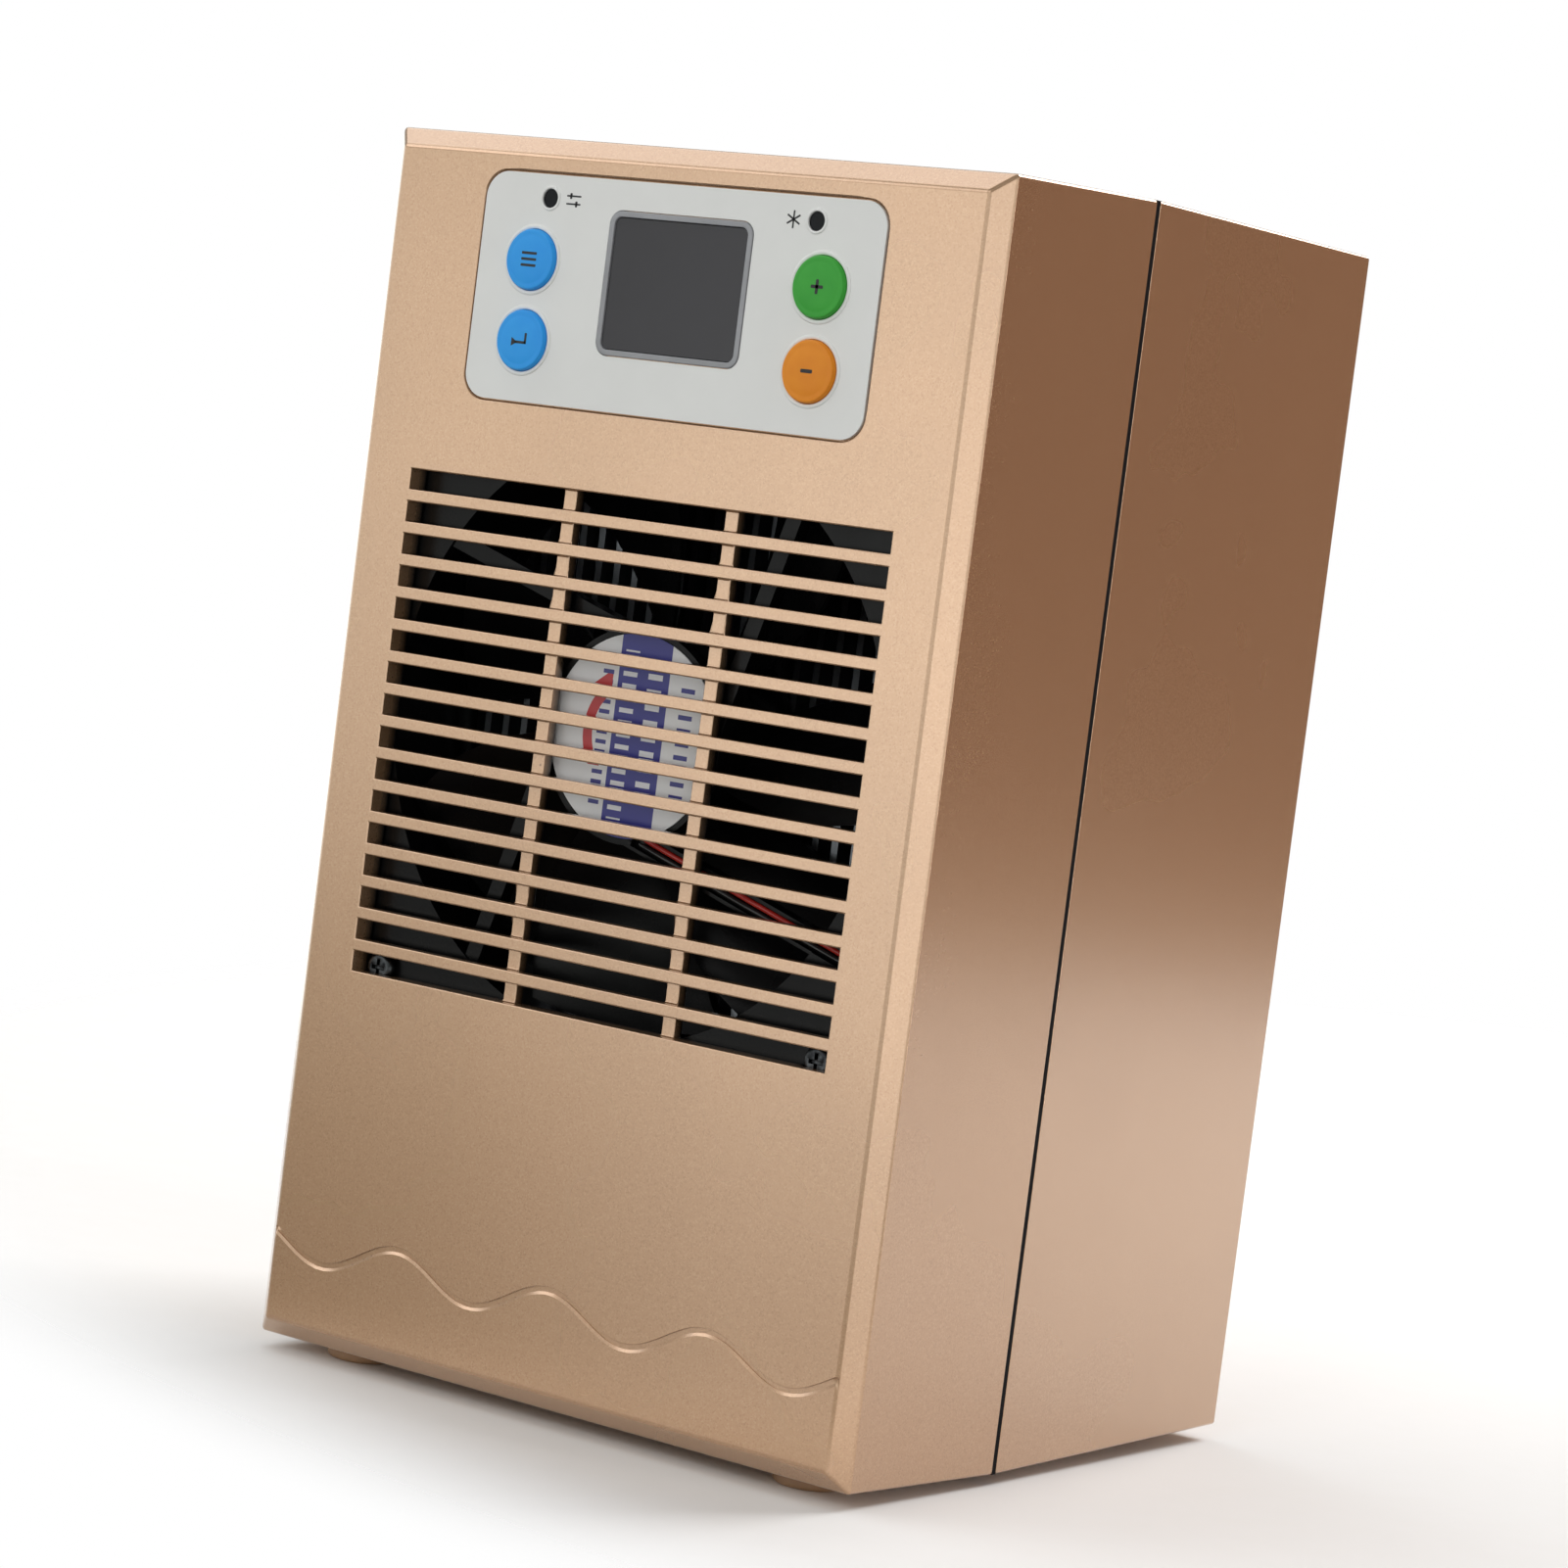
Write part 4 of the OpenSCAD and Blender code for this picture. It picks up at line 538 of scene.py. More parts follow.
shadedZinc = metalMaterial("shadedZincScrew", {  # zinc plate darkened as painted shade for the screws deep behind the grille: grey with soft worn glints
    "colour": "#47494B", "second": "#28292B", "line": 0.2, "patch": 1.6, "stretch": (1, 0.3, 1),
    "roughness": 0.3, "relief": 0.3})
zincSteel = metalMaterial("brightZincSteel", {  # bright zinc plate: cool silver, fine turning lines
    "colour": "#C9CBCD", "second": "#B3B6BA", "line": 0.25, "patch": 3, "stretch": (1, 0.2, 1),
    "roughness": 0.26, "relief": 0.15})
groundSteel = metalMaterial("groundShaftSteel", {  # ground steel: bright, with rings left by the wheel
    "colour": "#C2C4C7", "second": "#ADB0B4", "line": 0.15, "patch": 4, "stretch": (1, 4, 1),
    "roughness": 0.2, "relief": 0.1})
sinterBronze = metalMaterial("sinteredBronze", {  # sintered bronze: dull gold-brown, porous
    "colour": "#A8803F", "second": "#8C6730", "line": 0.2, "patch": 1.5, "stretch": (1, 1, 1),
    "roughness": 0.42, "relief": 0.3})
siliconSteel = metalMaterial("stackedSiliconSteel", {  # stacked sheets: dark grey with thin layer lines
    "colour": "#85898E", "second": "#6E7277", "line": 0.5, "patch": 5, "stretch": (0.05, 1, 0.05),
    "roughness": 0.38, "relief": 0.5})
enamelCopper = metalMaterial("enamelledCopperWire", {  # enamelled wire: orange-brown, glossy turns
    "colour": "#B0602A", "second": "#8C471C", "line": 0.35, "patch": 3, "stretch": (0.1, 0.1, 1),
    "roughness": 0.28, "relief": 0.7})
millAluminium = metalMaterial("extrudedAluminium", {  # extruded aluminium: pale grey, long drawing lines
    "colour": "#A7ABB0", "second": "#959A9F", "line": 0.3, "patch": 18, "stretch": (1, 1, 0.04),
    "roughness": 0.36, "relief": 0.25})
blockAluminium = metalMaterial("milledAluminiumBlock", {  # milled aluminium: pale grey, cutter lines across
    "colour": "#B2B5B9", "second": "#A2A6AA", "line": 0.4, "patch": 14, "stretch": (0.08, 1, 1),
    "roughness": 0.3, "relief": 0.25})
zincSheet = metalMaterial("galvanisedSheetSteel", {  # galvanised sheet: cool grey in cloudy patches
    "colour": "#9FA3A7", "second": "#888D92", "line": 0.6, "patch": 6, "stretch": (0.2, 1, 1),
    "roughness": 0.4, "relief": 0.2})
paleBrass = metalMaterial("tinnedBrass", {  # tinned brass: pale yellow, bright
    "colour": "#C9AE66", "second": "#B39649", "line": 0.2, "patch": 3, "stretch": (1, 0.1, 1),
    "roughness": 0.25, "relief": 0.1})
nickelNut = metalMaterial("nickelPlatedBrass", {  # nickel plate: warm silver, clean highlights
    "colour": "#BEBFC0", "second": "#A9AAAA", "line": 0.2, "patch": 3, "stretch": (1, 0.2, 1),
    "roughness": 0.24, "relief": 0.1})

labelPlan = {
    "height": 129.2, "band": (-4.8, 7.2), "wear": 7,
    "paper": "#DEDFE2", "paperLight": "#EDEDEE", "blue": "#26268A", "red": "#C2262C",
    # columns of printed dashes: from, to, pitch, thickness, reach up and down, colour
    "dashes": (
        (-3.7, -0.4, 2.3, 0.9, 16, "#E4E5EA"), (2.2, 5.6, 2.9, 1.1, 13, "#E4E5EA"),
        (-8.4, -5.9, 1.9, 0.8, 14, "#2E2E86"), (10.2, 13.4, 2.5, 0.9, 11, "#2E2E86"),
    ),
    # turning mark, mm: a piece of a ring and the arrowhead at its end
    "arcRadius": (9.4, 11.6), "arcX": (-14, -4.4), "arcZ": (-6.5, 7.5),
    "headX": (-12, -6), "headZ": (6.6, 11), "headSlope": 0.75, "headRise": (-100, 16.5),
}


def hubLabelPrint():  # coated paper label: white with a blue band, pale bars in it and a red turning mark
    material, tree, shader, place = newMaterial("coatedPaperLabel")
    plan = labelPlan
    centre = atCase(0, 0, plan["height"])
    local = addNode(tree, "ShaderNodeMapping", {"Location": (-centre.x, 0, -centre.z)}, {"Vector": place})
    axis = addNode(tree, "ShaderNodeSeparateXYZ", links={"Vector": local.outputs["Vector"]})
    x, z = axis.outputs["X"], axis.outputs["Z"]
    wear = addNode(tree, "ShaderNodeTexNoise", {"Scale": perMillimetre(plan["wear"]), "Detail": 4.0}, {"Vector": place})
    colour = addNode(
        tree, "ShaderNodeMix", colourMix,
        {0: wear.outputs["Fac"], 6: linear(plan["paper"]), 7: linear(plan["paperLight"])}).outputs[2]
    prints = [(insideLimits(tree, 1.0, (x, plan["band"])), plan["blue"])]
    for low, high, pitch, thick, reach, ink in plan["dashes"]:
        rows = addNode(tree, "ShaderNodeMath", {"operation": "PINGPONG", 1: pitch / 2000}, {0: z}).outputs[0]
        prints.append((insideLimits(tree, 1.0, (rows, (-1, thick / 2)), (x, (low, high)), (z, (-reach, reach))), ink))
    span = addNode(tree, "ShaderNodeVectorMath", {"operation": "MULTIPLY", 1: (1, 0, 1)}, {0: local.outputs["Vector"]})
    away = addNode(tree, "ShaderNodeVectorMath", {"operation": "LENGTH"}, {0: span.outputs["Vector"]})
    radius = away.outputs["Value"]
    arc = insideLimits(tree, 1.0, (radius, plan["arcRadius"]), (x, plan["arcX"]), (z, plan["arcZ"]))
    tilted = addNode(tree, "ShaderNodeMath", {"operation": "MULTIPLY_ADD", 1: -plan["headSlope"]}, {0: x, 2: z})
    head = insideLimits(tree, 1.0, (tilted.outputs[0], plan["headRise"]), (x, plan["headX"]), (z, plan["headZ"]))
    for share, ink in prints + [(arc, plan["red"]), (head, plan["red"])]:
        colour = addNode(tree, "ShaderNodeMix", colourMix, {0: share, 6: colour, 7: linear(ink)}).outputs[2]
    crease = addNode(tree, "ShaderNodeBump", {"Strength": 0.25, "Distance": 0.00008}, {"Height": wear.outputs["Fac"]})
    tree.links.new(colour, shader.inputs["Base Color"])
    tree.links.new(crease.outputs["Normal"], shader.inputs["Normal"])
    shader.inputs["Roughness"].default_value = 0.34
    return material


hubLabel = hubLabelPrint()

nodeFinishes = {
    "spigot_seals": gasketRubber, "case_screws": zincSteel,
    "display_window": smokedAcrylic, "display_module": moduleBlack, "lamp_windows": lampLens,
    "set_plunger": blackAbs, "enter_plunger": blackAbs, "plus_plunger": blackAbs, "minus_plunger": blackAbs,
    "switch_bases": blackAbs, "control_board": solderMask, "board_screws": zincSteel, "board_chip": chipEpoxy,
    "board_capacitors": capacitorSleeve, "board_connectors": naturalNylon, "status_lamps": milkyLamp,
    "rotor_magnet": ferrite, "fan_shaft": groundSteel, "fan_bearing": sinterBronze, "fan_stator": siliconSteel,
    "fan_coils": enamelCopper, "fan_label": hubLabel, "heat_sink": millAluminium,
    "sink_screws": zincSteel, "cooling_modules": alumina, "water_block": blockAluminium, "block_foam": foamRubber,
    "block_clamp": zincSheet, "clamp_screws": zincSteel, "hose_left": siliconeHose, "hose_right": siliconeHose,
    "spigot_nuts": blackNylon, "inlet_pin": paleBrass, "inlet_nut": nickelNut, "socket_nut": nickelNut,
    "switch_terminals": paleBrass,
}
for nodeName, finish in nodeFinishes.items():
    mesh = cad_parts[nodeName].data
    mesh.materials.clear()
    mesh.materials.append(finish)
print("stage: materials made,", len(bpy.data.materials))


# case shells

caseHalfWidth = 72.5
caseHeight = 240
caseDepth = 134
seamDepth = 49.8
shellPlan = {
    "cornerRound": 0.6, "cornerSteps": 3, "edgeRound": 0.3, "edgeSteps": 2, "seamRound": 0.5, "seamHalf": 0.5,
    "grooveLow": 15, "grooveHigh": 27, "grooveFill": 0.3, "upperLip": 0.06, "lowerLip": 0.56, "lipRise": 0.28,
    "waveHalfWidth": 68.5, "flatBand": 0.02, "taper": 1.1, "skinBand": 0.06, "seamClear": 3,
    "bevelDepth": 3.6, "bevelInset": 3.7, "seamCorner": 1.3, "seamReach": 0.7,
    "cornerAngle": 0.5, "edgeAngle": 0.6, "sharpAngle": 0.87, "waveAngle": 0.4,  # radians
}


def onCase(point):            # metres in the row frame to millimetres on the case
    x, y, z = point * 1000
    return x, y - caseFront, z - caseUnderside


def beyondOutline(x, z):      # millimetres outside the case's outline at the seam, less than nothing inside it
    return max(abs(x) - caseHalfWidth, abs(z - caseHeight / 2) - caseHeight / 2)


def onOutline(edge, test):    # both ends of an edge pass the test
    return all(test(point.co) for point in edge.verts)


def onLip(edge, up):          # on the lower (up = 1) or upper (up = -1) lip of the wave groove
    def onFront(point):
        height = point.z * 1000 - caseUnderside
        inBand = shellPlan["grooveLow"] < height < shellPlan["grooveHigh"]
        return abs(point.y * 1000 - caseFront) < shellPlan["flatBand"] and inBand
    if edge.calc_face_angle(0) < shellPlan["cornerAngle"] or not onOutline(edge, onFront):
        return False
    return any(face.normal.z * up > 0.5 for face in edge.link_faces)


def inGrooveBand(point):
    height = point.z * 1000 - caseUnderside
    return shellPlan["grooveLow"] < height < shellPlan["grooveHigh"] and abs(point.y * 1000 - caseFront) < 1


def isUnderWave(face):        # flat faces of the front at the height of the wave groove and below it
    def isLow(point):
        onFlat = abs(point.y * 1000 - caseFront) < shellPlan["flatBand"]
        return onFlat and point.z * 1000 - caseUnderside < shellPlan["grooveHigh"]
    return face.normal.y < -0.999 and all(isLow(point.co) for point in face.verts)


def grooveDepth(point):       # millimetres behind the front face, nothing outside the groove band
    return point.y * 1000 - caseFront if inGrooveBand(point) else 0


def onWave(edge):             # inside the groove band, clear of the bevelled sides
    return all(inGrooveBand(point.co) and abs(point.co.x) < shellPlan["waveHalfWidth"] / 1000 for point in edge.verts)


def onSeamRim(point):         # on the outer rim that faces the gasket
    x, y, z = onCase(point)
    return abs(abs(y - seamDepth) - shellPlan["seamHalf"]) < shellPlan["flatBand"] and beyondOutline(x, z) > -0.3


def roundEdges(piece, width, segments, test):  # weak new faces leave the flats their own normals
    pick(piece, "EDGE", test)
    bpy.ops.mesh.bevel(offset=width / 1000, segments=segments, profile=0.5, affect="EDGES", clamp_overlap=False)
    bpy.ops.mesh.mod_weighted_strength(set=True, face_strength="WEAK")


def dressWave(piece):         # rounds the front's edges, then gives the wave groove its two lips and its paint
    plan = shellPlan
    roundEdges(
        piece, plan["edgeRound"], plan["edgeSteps"],
        lambda edge: edge.calc_face_angle(0) > plan["edgeAngle"] and not any(inGrooveBand(p.co) for p in edge.verts))
    roundEdges(piece, plan["lowerLip"], 1, lambda edge: onLip(edge, 1))
    pick(piece, "VERT", lambda p: inGrooveBand(p.co) and abs(grooveDepth(p.co) - plan["lowerLip"]) < 0.05)
    shift(y=-plan["lipRise"])     # the lower lip becomes a shallow facet that catches the light from above
    roundEdges(piece, plan["upperLip"], 1, lambda edge: onLip(edge, -1))
    pick(piece, "FACE", lambda face: face.normal.y < -0.9 and grooveDepth(face.calc_center_median()) > 0.7)
    shift(y=-plan["grooveFill"])  # paint fills the bottom of the groove


def dressShell(nodeName, name, isCorner):
    plan = shellPlan
    piece = copyOfNode(nodeName, name)
    bpy.ops.object.mode_set(mode="EDIT")
    selectWhole()
    bpy.ops.mesh.mod_weighted_strength(set=True, face_strength="STRONG")
    if nodeName == "front_shell":
        pick(piece, "FACE", isUnderWave)
        bpy.ops.mesh.dissolve_limited(angle_limit=0.01)  # one flat face, so the lip keeps an even width

    def isOuterCorner(edge):
        isSharp = len(edge.link_faces) == 2 and edge.calc_face_angle(0) > plan["cornerAngle"]
        return isSharp and onOutline(edge, isCorner)

    roundEdges(piece, plan["cornerRound"], plan["cornerSteps"], isOuterCorner)
    roundEdges(
        piece, plan["seamRound"], plan["cornerSteps"],
        lambda edge: edge.calc_face_angle(0) > plan["edgeAngle"] and onOutline(edge, onSeamRim))
    if nodeName == "front_shell":
        dressWave(piece)
    pick(piece, "EDGE", lambda edge: edge.calc_face_angle(0) > plan["waveAngle" if onWave(edge) else "sharpAngle"])
    bpy.ops.mesh.mark_sharp()
    closePiece()
    takeUp(piece)
    bpy.ops.object.shade_smooth()
    applyModifier(piece, "WEIGHTED_NORMAL", mode="FACE_AREA", weight=60, keep_sharp=True, use_face_influence=True)
    return finishPiece(piece, goldPaint, "case", "gold_paint", nodeName)


def onFrontSkin(point):       # on the outside of the front half, bevel included, away from the seam edge
    x, y, z = onCase(point)
    out = beyondOutline(x, z) + shellPlan["taper"] * (seamDepth - y) / seamDepth
    onSide = abs(out) < shellPlan["skinBand"] and y < seamDepth - shellPlan["seamClear"]
    return onSide or (y < shellPlan["bevelDepth"] and out > -shellPlan["bevelInset"])


def onRearSkin(point):        # on the outside of the rear half, away from the seam edge
    x, y, z = onCase(point)
    share = (y - seamDepth) / (caseDepth - seamDepth)
    out = beyondOutline(x, z) + shellPlan["taper"] * share
    return abs(out) < shellPlan["skinBand"] and y > seamDepth + shellPlan["seamClear"]


def runsToSeam(nearSeam, skin):  # on the skin, or at a corner of the seam where the long corner edges end
    def test(point):
        x, y, z = onCase(point)
        offSide = abs(abs(x) - caseHalfWidth)
        offTop = abs(abs(z - caseHeight / 2) - caseHeight / 2)
        isCorner = max(offSide, offTop) < shellPlan["seamCorner"]
        return skin(point) or (isCorner and abs(y - nearSeam) < shellPlan["seamReach"])
    return test


frontShell = dressShell("front_shell", "frontShell", runsToSeam(seamDepth - shellPlan["seamHalf"], onFrontSkin))
rearShell = dressShell("rear_shell", "rearShell", runsToSeam(seamDepth + shellPlan["seamHalf"], onRearSkin))
print("stage: shells dressed,", len(frontShell.data.polygons), len(rearShell.data.polygons))

sealPlan = {"gasketSwell": (1.0017, 1.5, 1.001), "footRound": 0.2}
gasket = copyOfNode("seam_gasket", "seamGasket")  # swells a little where the rounded rims leave it room
bpy.ops.object.mode_set(mode="EDIT")
selectWhole()
bpy.ops.transform.resize(value=sealPlan["gasketSwell"], center_override=atCase(0, seamDepth, caseHeight / 2))
closePiece()
finishPiece(gasket, gasketRubber, "case", "black_rubber", "seam_gasket")
feet = copyOfNode("feet", "feetRounded")
softenEdges(feet, sealPlan["footRound"])
finishPiece(feet, footRubber, "case", "gold_paint", "feet")


# control panel

panelPlan = {
    "middleX": 0.6, "filmRound": 0.14, "frameRound": 0.16,
    "keyX": 33.6, "keyTop": 215.6, "keyPitch": 15.3, "keyRadius": 5.8,
    "keyRim": -0.5, "keyBack": 2.6, "flangeRadius": 6.8, "flange": 1.0, "flareStep": 0.02, "keyRound": 0.12,
    "crown": ((0.28, 0.42), (0.42, 0.10), (0.30, -0.08), (0.40, 0.10), (1.5, 0.10)),
    "collarRadius": 6.32, "collarWidth": 0.42, "collarProud": 0.22,
    "lampX": 31, "lampZ": 227.4, "lampCollarRadius": 2.1, "lampCollarWidth": 0.3,
    "inkThick": 0.2, "inkProud": 0.03, "barRound": 0.28, "headRound": 0.1,  # the last two are shares of the size
}

film = copyOfNode("panel_plate", "overlayFilmPlate")
softenEdges(film, panelPlan["filmRound"])
finishPiece(film, overlayFilm, "case", "panel_plastic", "panel_plate")
bezel = copyOfNode("display_frame", "displayBezel")
softenEdges(bezel, panelPlan["frameRound"], 3)
finishPiece(bezel, frameAbs, "case", "grey_plastic", "display_frame")


def makeCollar(name, x, z, radius, width):  # the embossed ring of film round a key or lamp
    deselectAll()
    bpy.ops.mesh.primitive_torus_add(
        major_radius=radius / 1000, minor_radius=width / 1000, major_segments=64, minor_segments=12,
        location=atCase(x, 0, z), rotation=(math.pi / 2, 0, 0),
    )
    collar = beginPiece(name)
    selectWhole()
    bpy.ops.transform.resize(value=(1, panelPlan["collarProud"] / width, 1), center_override=atCase(x, 0, z))
    closePiece()
    bpy.ops.object.shade_smooth()
    return finishPiece(collar, overlayFilm, "case", "panel_plastic")


def makeKey(name, x, z):     # a domed key: shouldered crown in front, flange behind the wall
    deselectAll()
    length = panelPlan["keyBack"] - panelPlan["keyRim"]
    bpy.ops.mesh.primitive_cylinder_add(
        vertices=64, radius=panelPlan["keyRadius"] / 1000, depth=length / 1000,
        location=atCase(x, panelPlan["keyRim"] + length / 2, z), rotation=(math.pi / 2, 0, 0),
    )
    key = beginPiece(name)
    pick(key, "FACE", lambda face: face.normal.y < -0.9)
    for inset, rise in panelPlan["crown"]:
        bpy.ops.mesh.inset(thickness=inset / 1000, use_even_offset=True)
        shift(y=-rise)
    pick(key, "FACE", lambda face: face.normal.y > 0.9)
    flareStep = panelPlan["flareStep"] / 1000
    bpy.ops.mesh.extrude_region_move(TRANSFORM_OT_translate={"value": (0, flareStep, 0)})
    flare = panelPlan["flangeRadius"] / panelPlan["keyRadius"]
    bpy.ops.transform.resize(value=(flare, 1, flare), center_override=atCase(x, panelPlan["keyBack"], z))
    bpy.ops.mesh.extrude_region_move(TRANSFORM_OT_translate={"value": (0, panelPlan["flange"] / 1000 - flareStep, 0)})
    closePiece()
    takeUp(key)
    applyModifier(
        key, "BEVEL", width=panelPlan["keyRound"] / 1000, segments=2,
        limit_method="ANGLE", angle_limit=math.radians(45),
    )
    bpy.ops.object.shade_smooth_by_angle(angle=math.radians(40))
    return key


def makeBar(name, x, z, width, height, front, turn=0):  # a printed bar, sunk into what carries it
    deselectAll()
    bpy.ops.mesh.primitive_cube_add(size=1, location=atCase(x, front + panelPlan["inkThick"] / 2, z))
    bar = bpy.context.object
    bar.scale = (width / 1000, panelPlan["inkThick"] / 1000, height / 1000)
    bar.rotation_euler = (0, math.radians(turn), 0)
    bar = beginPiece(name)
    pick(bar, "EDGE", runsInDepth)
    bpy.ops.mesh.bevel(offset=min(width, height) * panelPlan["barRound"] / 1000, segments=3, affect="EDGES")
    closePiece()
    return bar


def makeHead(name, x, z, size, front, turn):  # a printed triangle
    deselectAll()
    bpy.ops.mesh.primitive_cylinder_add(
        vertices=3, radius=size / 1000, depth=panelPlan["inkThick"] / 1000,
        location=atCase(x, front + panelPlan["inkThick"] / 2, z), rotation=(math.pi / 2, math.radians(turn), 0),
    )
    head = beginPiece(name)
    pick(head, "EDGE", runsInDepth)
    bpy.ops.mesh.bevel(offset=size * panelPlan["headRound"] / 1000, segments=2, affect="EDGES")
    closePiece()
    return head


def joinMarks(parts, name, material, body, slotName):  # one piece of several printed marks
    deselectAll()
    for part in parts:
        part.select_set(True)
    bpy.context.view_layer.objects.active = parts[0]
    bpy.ops.object.join()
    parts[0].name = name
    return finishPiece(parts[0], material, body, slotName)


keyLeft = panelPlan["middleX"] - panelPlan["keyX"]
keyRight = panelPlan["middleX"] + panelPlan["keyX"]
keyLow = panelPlan["keyTop"] - panelPlan["keyPitch"]
crownFront = panelPlan["keyRim"] - sum(rise for inset, rise in panelPlan["crown"])
keyPlan = {
    # name: x, z, material, body, slot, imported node
    "setKey": (keyLeft, panelPlan["keyTop"], blueKey, "set_button", "blue_key", "set_key"),
    "enterKey": (keyLeft, keyLow, blueKey, "enter_button", "blue_key", "enter_key"),
    "plusKey": (keyRight, panelPlan["keyTop"], greenKey, "plus_button", "green_key", "plus_key"),
    "minusKey": (keyRight, keyLow, orangeKey, "minus_button", "orange_key", "minus_key"),
}
for name, (x, z, finish, body, slotName, nodeName) in keyPlan.items():
    finishPiece(makeKey(name, x, z), finish, body, slotName, nodeName)
    makeCollar(name + "Collar", x, z, panelPlan["collarRadius"], panelPlan["collarWidth"])

markFront = crownFront - panelPlan["inkProud"]
joinMarks([
    makeBar("markA", keyLeft, panelPlan["keyTop"] + 1.15, 3.6, 0.5, markFront),
    makeBar("markB", keyLeft, panelPlan["keyTop"], 3.6, 0.5, markFront),
    makeBar("markC", keyLeft, panelPlan["keyTop"] - 1.15, 3.6, 0.5, markFront),
], "setKeyMark", keyInk, "set_button", "black_plastic")
joinMarks([
    makeBar("markA", keyLeft + 0.35, keyLow - 0.45, 2.7, 0.5, markFront),
    makeBar("markB", keyLeft + 1.5, keyLow + 0.35, 0.5, 2.1, markFront),
    makeHead("markC", keyLeft - 1.35, keyLow - 0.45, 0.95, markFront, 90),
], "enterKeyMark", keyInk, "enter_button", "black_plastic")
joinMarks([
    makeBar("markA", keyRight, panelPlan["keyTop"], 2.7, 0.62, markFront),
    makeBar("markB", keyRight, panelPlan["keyTop"], 0.62, 2.7, markFront),
], "plusKeyMark", keyInk, "plus_button", "black_plastic")
finishPiece(makeBar("minusKeyMark", keyRight, keyLow, 2.6, 0.68, markFront), keyInk, "minus_button", "black_plastic")

lampLeft = panelPlan["middleX"] - panelPlan["lampX"]
lampRight = panelPlan["middleX"] + panelPlan["lampX"]
for name, x in (("leftLampCollar", lampLeft), ("rightLampCollar", lampRight)):
    makeCollar(name, x, panelPlan["lampZ"], panelPlan["lampCollarRadius"], panelPlan["lampCollarWidth"])
# small signs beside the lamps: sliders for setting, a six-armed frost sign for cooling
signFront = -panelPlan["inkProud"]
joinMarks([
    makeBar("markA", lampLeft + 5.6, panelPlan["lampZ"] + 0.75, 3.4, 0.32, signFront),
    makeBar("markB", lampLeft + 5.6, panelPlan["lampZ"] - 0.75, 3.4, 0.32, signFront),
    makeBar("markC", lampLeft + 4.9, panelPlan["lampZ"] + 0.75, 0.5, 1.1, signFront),
    makeBar("markD", lampLeft + 6.3, panelPlan["lampZ"] - 0.75, 0.5, 1.1, signFront),
], "settingSign", keyInk, "case", "black_plastic")
joinMarks([
    makeBar("mark" + str(turn), lampRight - 5.2, panelPlan["lampZ"], 3.3, 0.34, signFront, turn)
    for turn in (30, 90, 150)
], "coolingSign", keyInk, "case", "black_plastic")
print("stage: control panel made")


# fan

fanPlan = {
    "height": 129.2, "screwReach": 52.5, "headShrink": 0.84, "headField": 6, "frameRound": 0.25, "headRound": 0.08,
}
fanFrame = copyOfNode("fan_frame", "fanFrame")
softenEdges(fanFrame, fanPlan["frameRound"])
finishPiece(fanFrame, fanPlastic, "case", "gloss_black", "fan_frame")
fanRotor = copyOfNode("fan_rotor", "fanRotor")
bpy.ops.object.shade_smooth_by_angle(angle=math.radians(38))
finishPiece(fanRotor, fanPlastic, "impeller", "gloss_black", "fan_rotor")
fanScrews = copyOfNode("fan_screws", "fanScrews")
bpy.ops.object.mode_set(mode="EDIT")
for x in (-fanPlan["screwReach"], fanPlan["screwReach"]):  # the heads are drawn in a little round their own axes
    for rise in (-fanPlan["screwReach"], fanPlan["screwReach"]):
        axis = atCase(x, 0, fanPlan["height"] + rise)

        def isOnScrew(face):
            away = face.calc_center_median() - axis
            return max(abs(away.x), abs(away.z)) < fanPlan["headField"] / 1000

        pick(fanScrews, "FACE", isOnScrew)
        bpy.ops.transform.resize(value=(fanPlan["headShrink"], 1, fanPlan["headShrink"]), center_override=axis)
closePiece()
softenEdges(fanScrews, fanPlan["headRound"])
# the fan screws take the darkened zinc: their colour carries painted shade from behind the grille
finishPiece(fanScrews, shadedZinc, "case", "screw_steel", "fan_screws")
for nodeName, name, finish, slotName in (
    ("fan_lead_red", "fanLeadRed", redPvc, "red_insulation"),
    ("fan_lead_black", "fanLeadBlack", blackPvc, "black_insulation"),
):
    lead = copyOfNode(nodeName, name)
    applyModifier(lead, "SUBSURF", levels=1, render_levels=1)
    bpy.ops.object.shade_smooth_by_angle(angle=math.radians(60))
    finishPiece(lead, finish, "case", slotName, nodeName)
print("stage: fan dressed")


# back: spigots, inlets and switch

spigotPlan = {
    "x": 18, "z": 38, "flangeRadius": 10, "flangeBack": 135, "flangeFront": 137.5,
    "barbs": 3, "barbPitch": 4.6, "tail": 156, "tailRadius": 5.45, "barbRadius": 6.0, "bore": 4.0,
    "shankRadius": 7.0, "shankFront": 125.5, "throat": 131.5, "throatRadius": 2.5, "hoseSeatRadius": 3.85,
}


def spigotProfile():         # closed profile: flange, barbed tail, bore, inner channel, shank
    plan = spigotPlan
    back, front, rim = plan["flangeBack"], plan["flangeFront"], plan["flangeRadius"]
    tail, neck, barb = plan["tail"], plan["tailRadius"], plan["barbRadius"]
    points = [(back, plan["shankRadius"]), (back, rim - 0.4), (back + 0.4, rim), (front - 0.6, rim), (front, rim - 0.6)]
    points += [(front, neck + 0.8), (front + 0.8, neck)]
    for i in range(plan["barbs"]):
        y = tail - plan["barbs"] * plan["barbPitch"] + i * plan["barbPitch"]
        points += [(y, neck), (y + 0.1, barb), (y + 0.7, barb), (y + plan["barbPitch"] - 0.3, neck)]
    points += [(tail - 0.2, neck - 0.25), (tail, neck - 0.6), (tail, plan["bore"] + 0.25)]
    return points


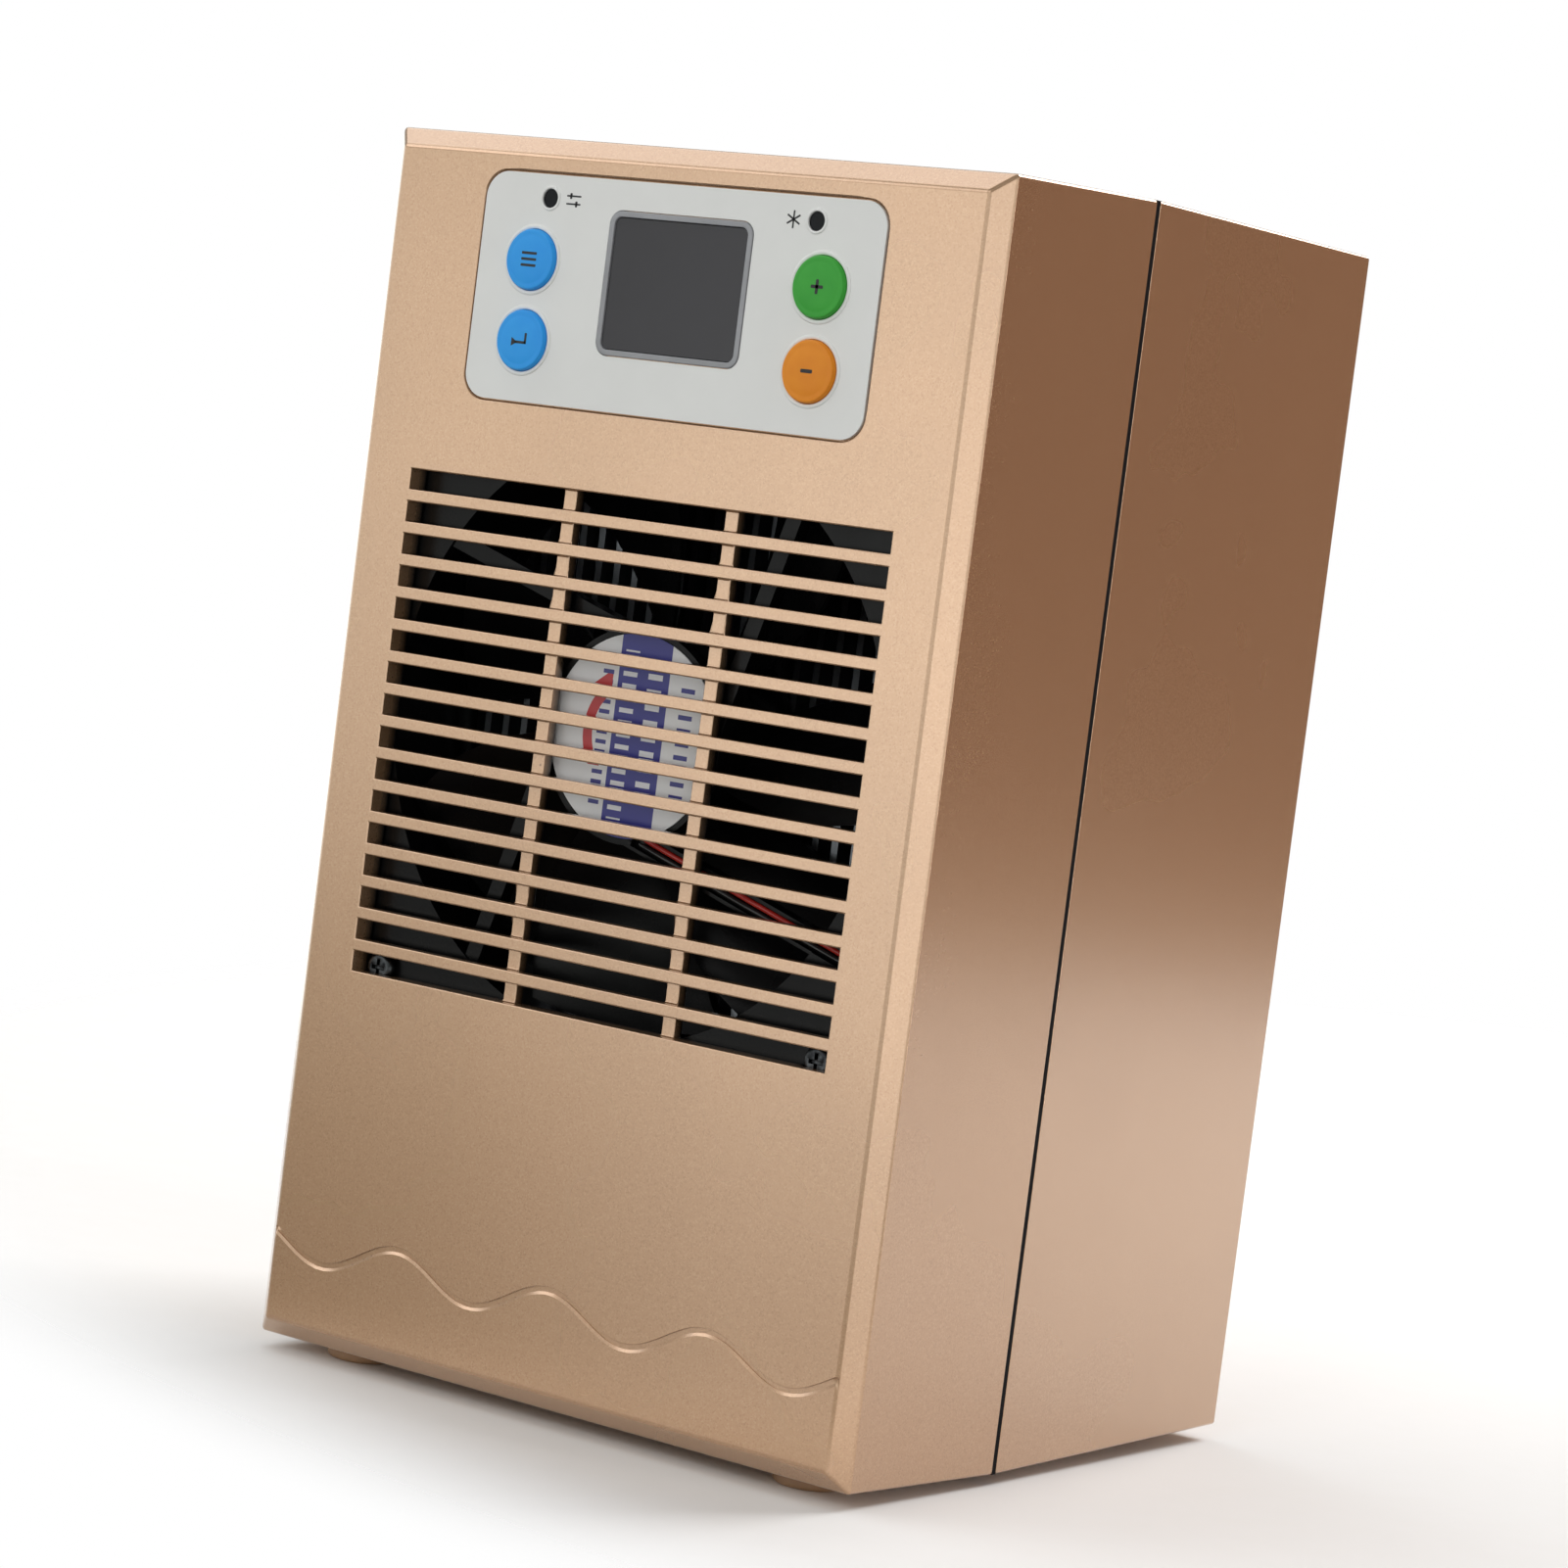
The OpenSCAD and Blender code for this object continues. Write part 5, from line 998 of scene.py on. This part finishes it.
def makeSpigot(name, nodeName, x):
    plan = spigotPlan
    low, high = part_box(nodeName)
    inner = low.y * 1000 - caseFront
    profile = spigotProfile()
    profile += [(plan["tail"] - 0.25, plan["bore"]), (plan["throat"], plan["bore"])]
    profile += [(plan["throat"], plan["throatRadius"]), (inner, plan["throatRadius"])]
    profile += [(inner, plan["hoseSeatRadius"]), (plan["shankFront"], plan["hoseSeatRadius"])]
    profile += [(plan["shankFront"], plan["shankRadius"]), profile[0]]
    spigot = turnedPiece(name, x, plan["z"], profile)
    bpy.ops.object.shade_smooth_by_angle(angle=math.radians(32))
    return finishPiece(spigot, blackNylon, "case", "black_plastic", nodeName)


makeSpigot("spigotLeft", "spigot_left", -spigotPlan["x"])
makeSpigot("spigotRight", "spigot_right", spigotPlan["x"])

for nodeName, name, width, segments, finish, body in (
    ("power_inlet", "powerInlet", 0.25, 2, blackAbs, "case"),
    ("sensor_socket", "sensorSocket", 0.2, 2, blackAbs, "case"),
    ("switch_housing", "switchHousing", 0.22, 2, switchPlastic, "case"),
    ("rocker", "switchRocker", 0.35, 3, switchPlastic, "power_rocker"),
):
    moulding = copyOfNode(nodeName, name)
    softenEdges(moulding, width, segments)
    finishPiece(moulding, finish, body, "black_plastic", nodeName)

rockerPlan = {
    "x": -46, "z": 38,
    "barY": 135.976, "barRise": 4.3, "barSize": (0.6, 0.08, 3.0), "barRound": 0.15,
    "lowerTilt": 18, "bendY": 135.975, "bendRise": 0.313, "ringReach": 3.9,  # the ring lies on the tilted lower half
    "ringRadius": 1.5, "ringThick": 0.28, "ringFlat": 0.16,
}
deselectAll()
barPlace = atCase(rockerPlan["x"], rockerPlan["barY"], rockerPlan["z"] + rockerPlan["barRise"])
bpy.ops.mesh.primitive_cube_add(size=1, location=barPlace)
bpy.context.object.scale = [length / 1000 for length in rockerPlan["barSize"]]
barMark = beginPiece("rockerBarMark")
pick(barMark, "EDGE", runsInDepth)
bpy.ops.mesh.bevel(offset=rockerPlan["barRound"] / 1000, segments=3, affect="EDGES")
finishPiece(barMark, whiteInk, "power_rocker", "black_plastic")
deselectAll()
slope = math.radians(rockerPlan["lowerTilt"])
ringZ = rockerPlan["z"] + (rockerPlan["bendRise"] - rockerPlan["ringReach"] * math.cos(slope))
ringY = rockerPlan["bendY"] + rockerPlan["ringReach"] * math.sin(slope)
bpy.ops.mesh.primitive_torus_add(
    major_radius=rockerPlan["ringRadius"] / 1000, minor_radius=rockerPlan["ringThick"] / 1000,
    major_segments=48, minor_segments=10, location=atCase(rockerPlan["x"], ringY, ringZ),
)
bpy.context.object.scale = (1, 1, rockerPlan["ringFlat"])
bpy.context.object.rotation_euler = (math.pi / 2 + slope, 0, 0)
ringMark = beginPiece("rockerRingMark")
closePiece()
bpy.ops.object.shade_smooth()
finishPiece(ringMark, whiteInk, "power_rocker", "black_plastic")
print("stage: back made")


# clears the selection at the end

deselectAll()
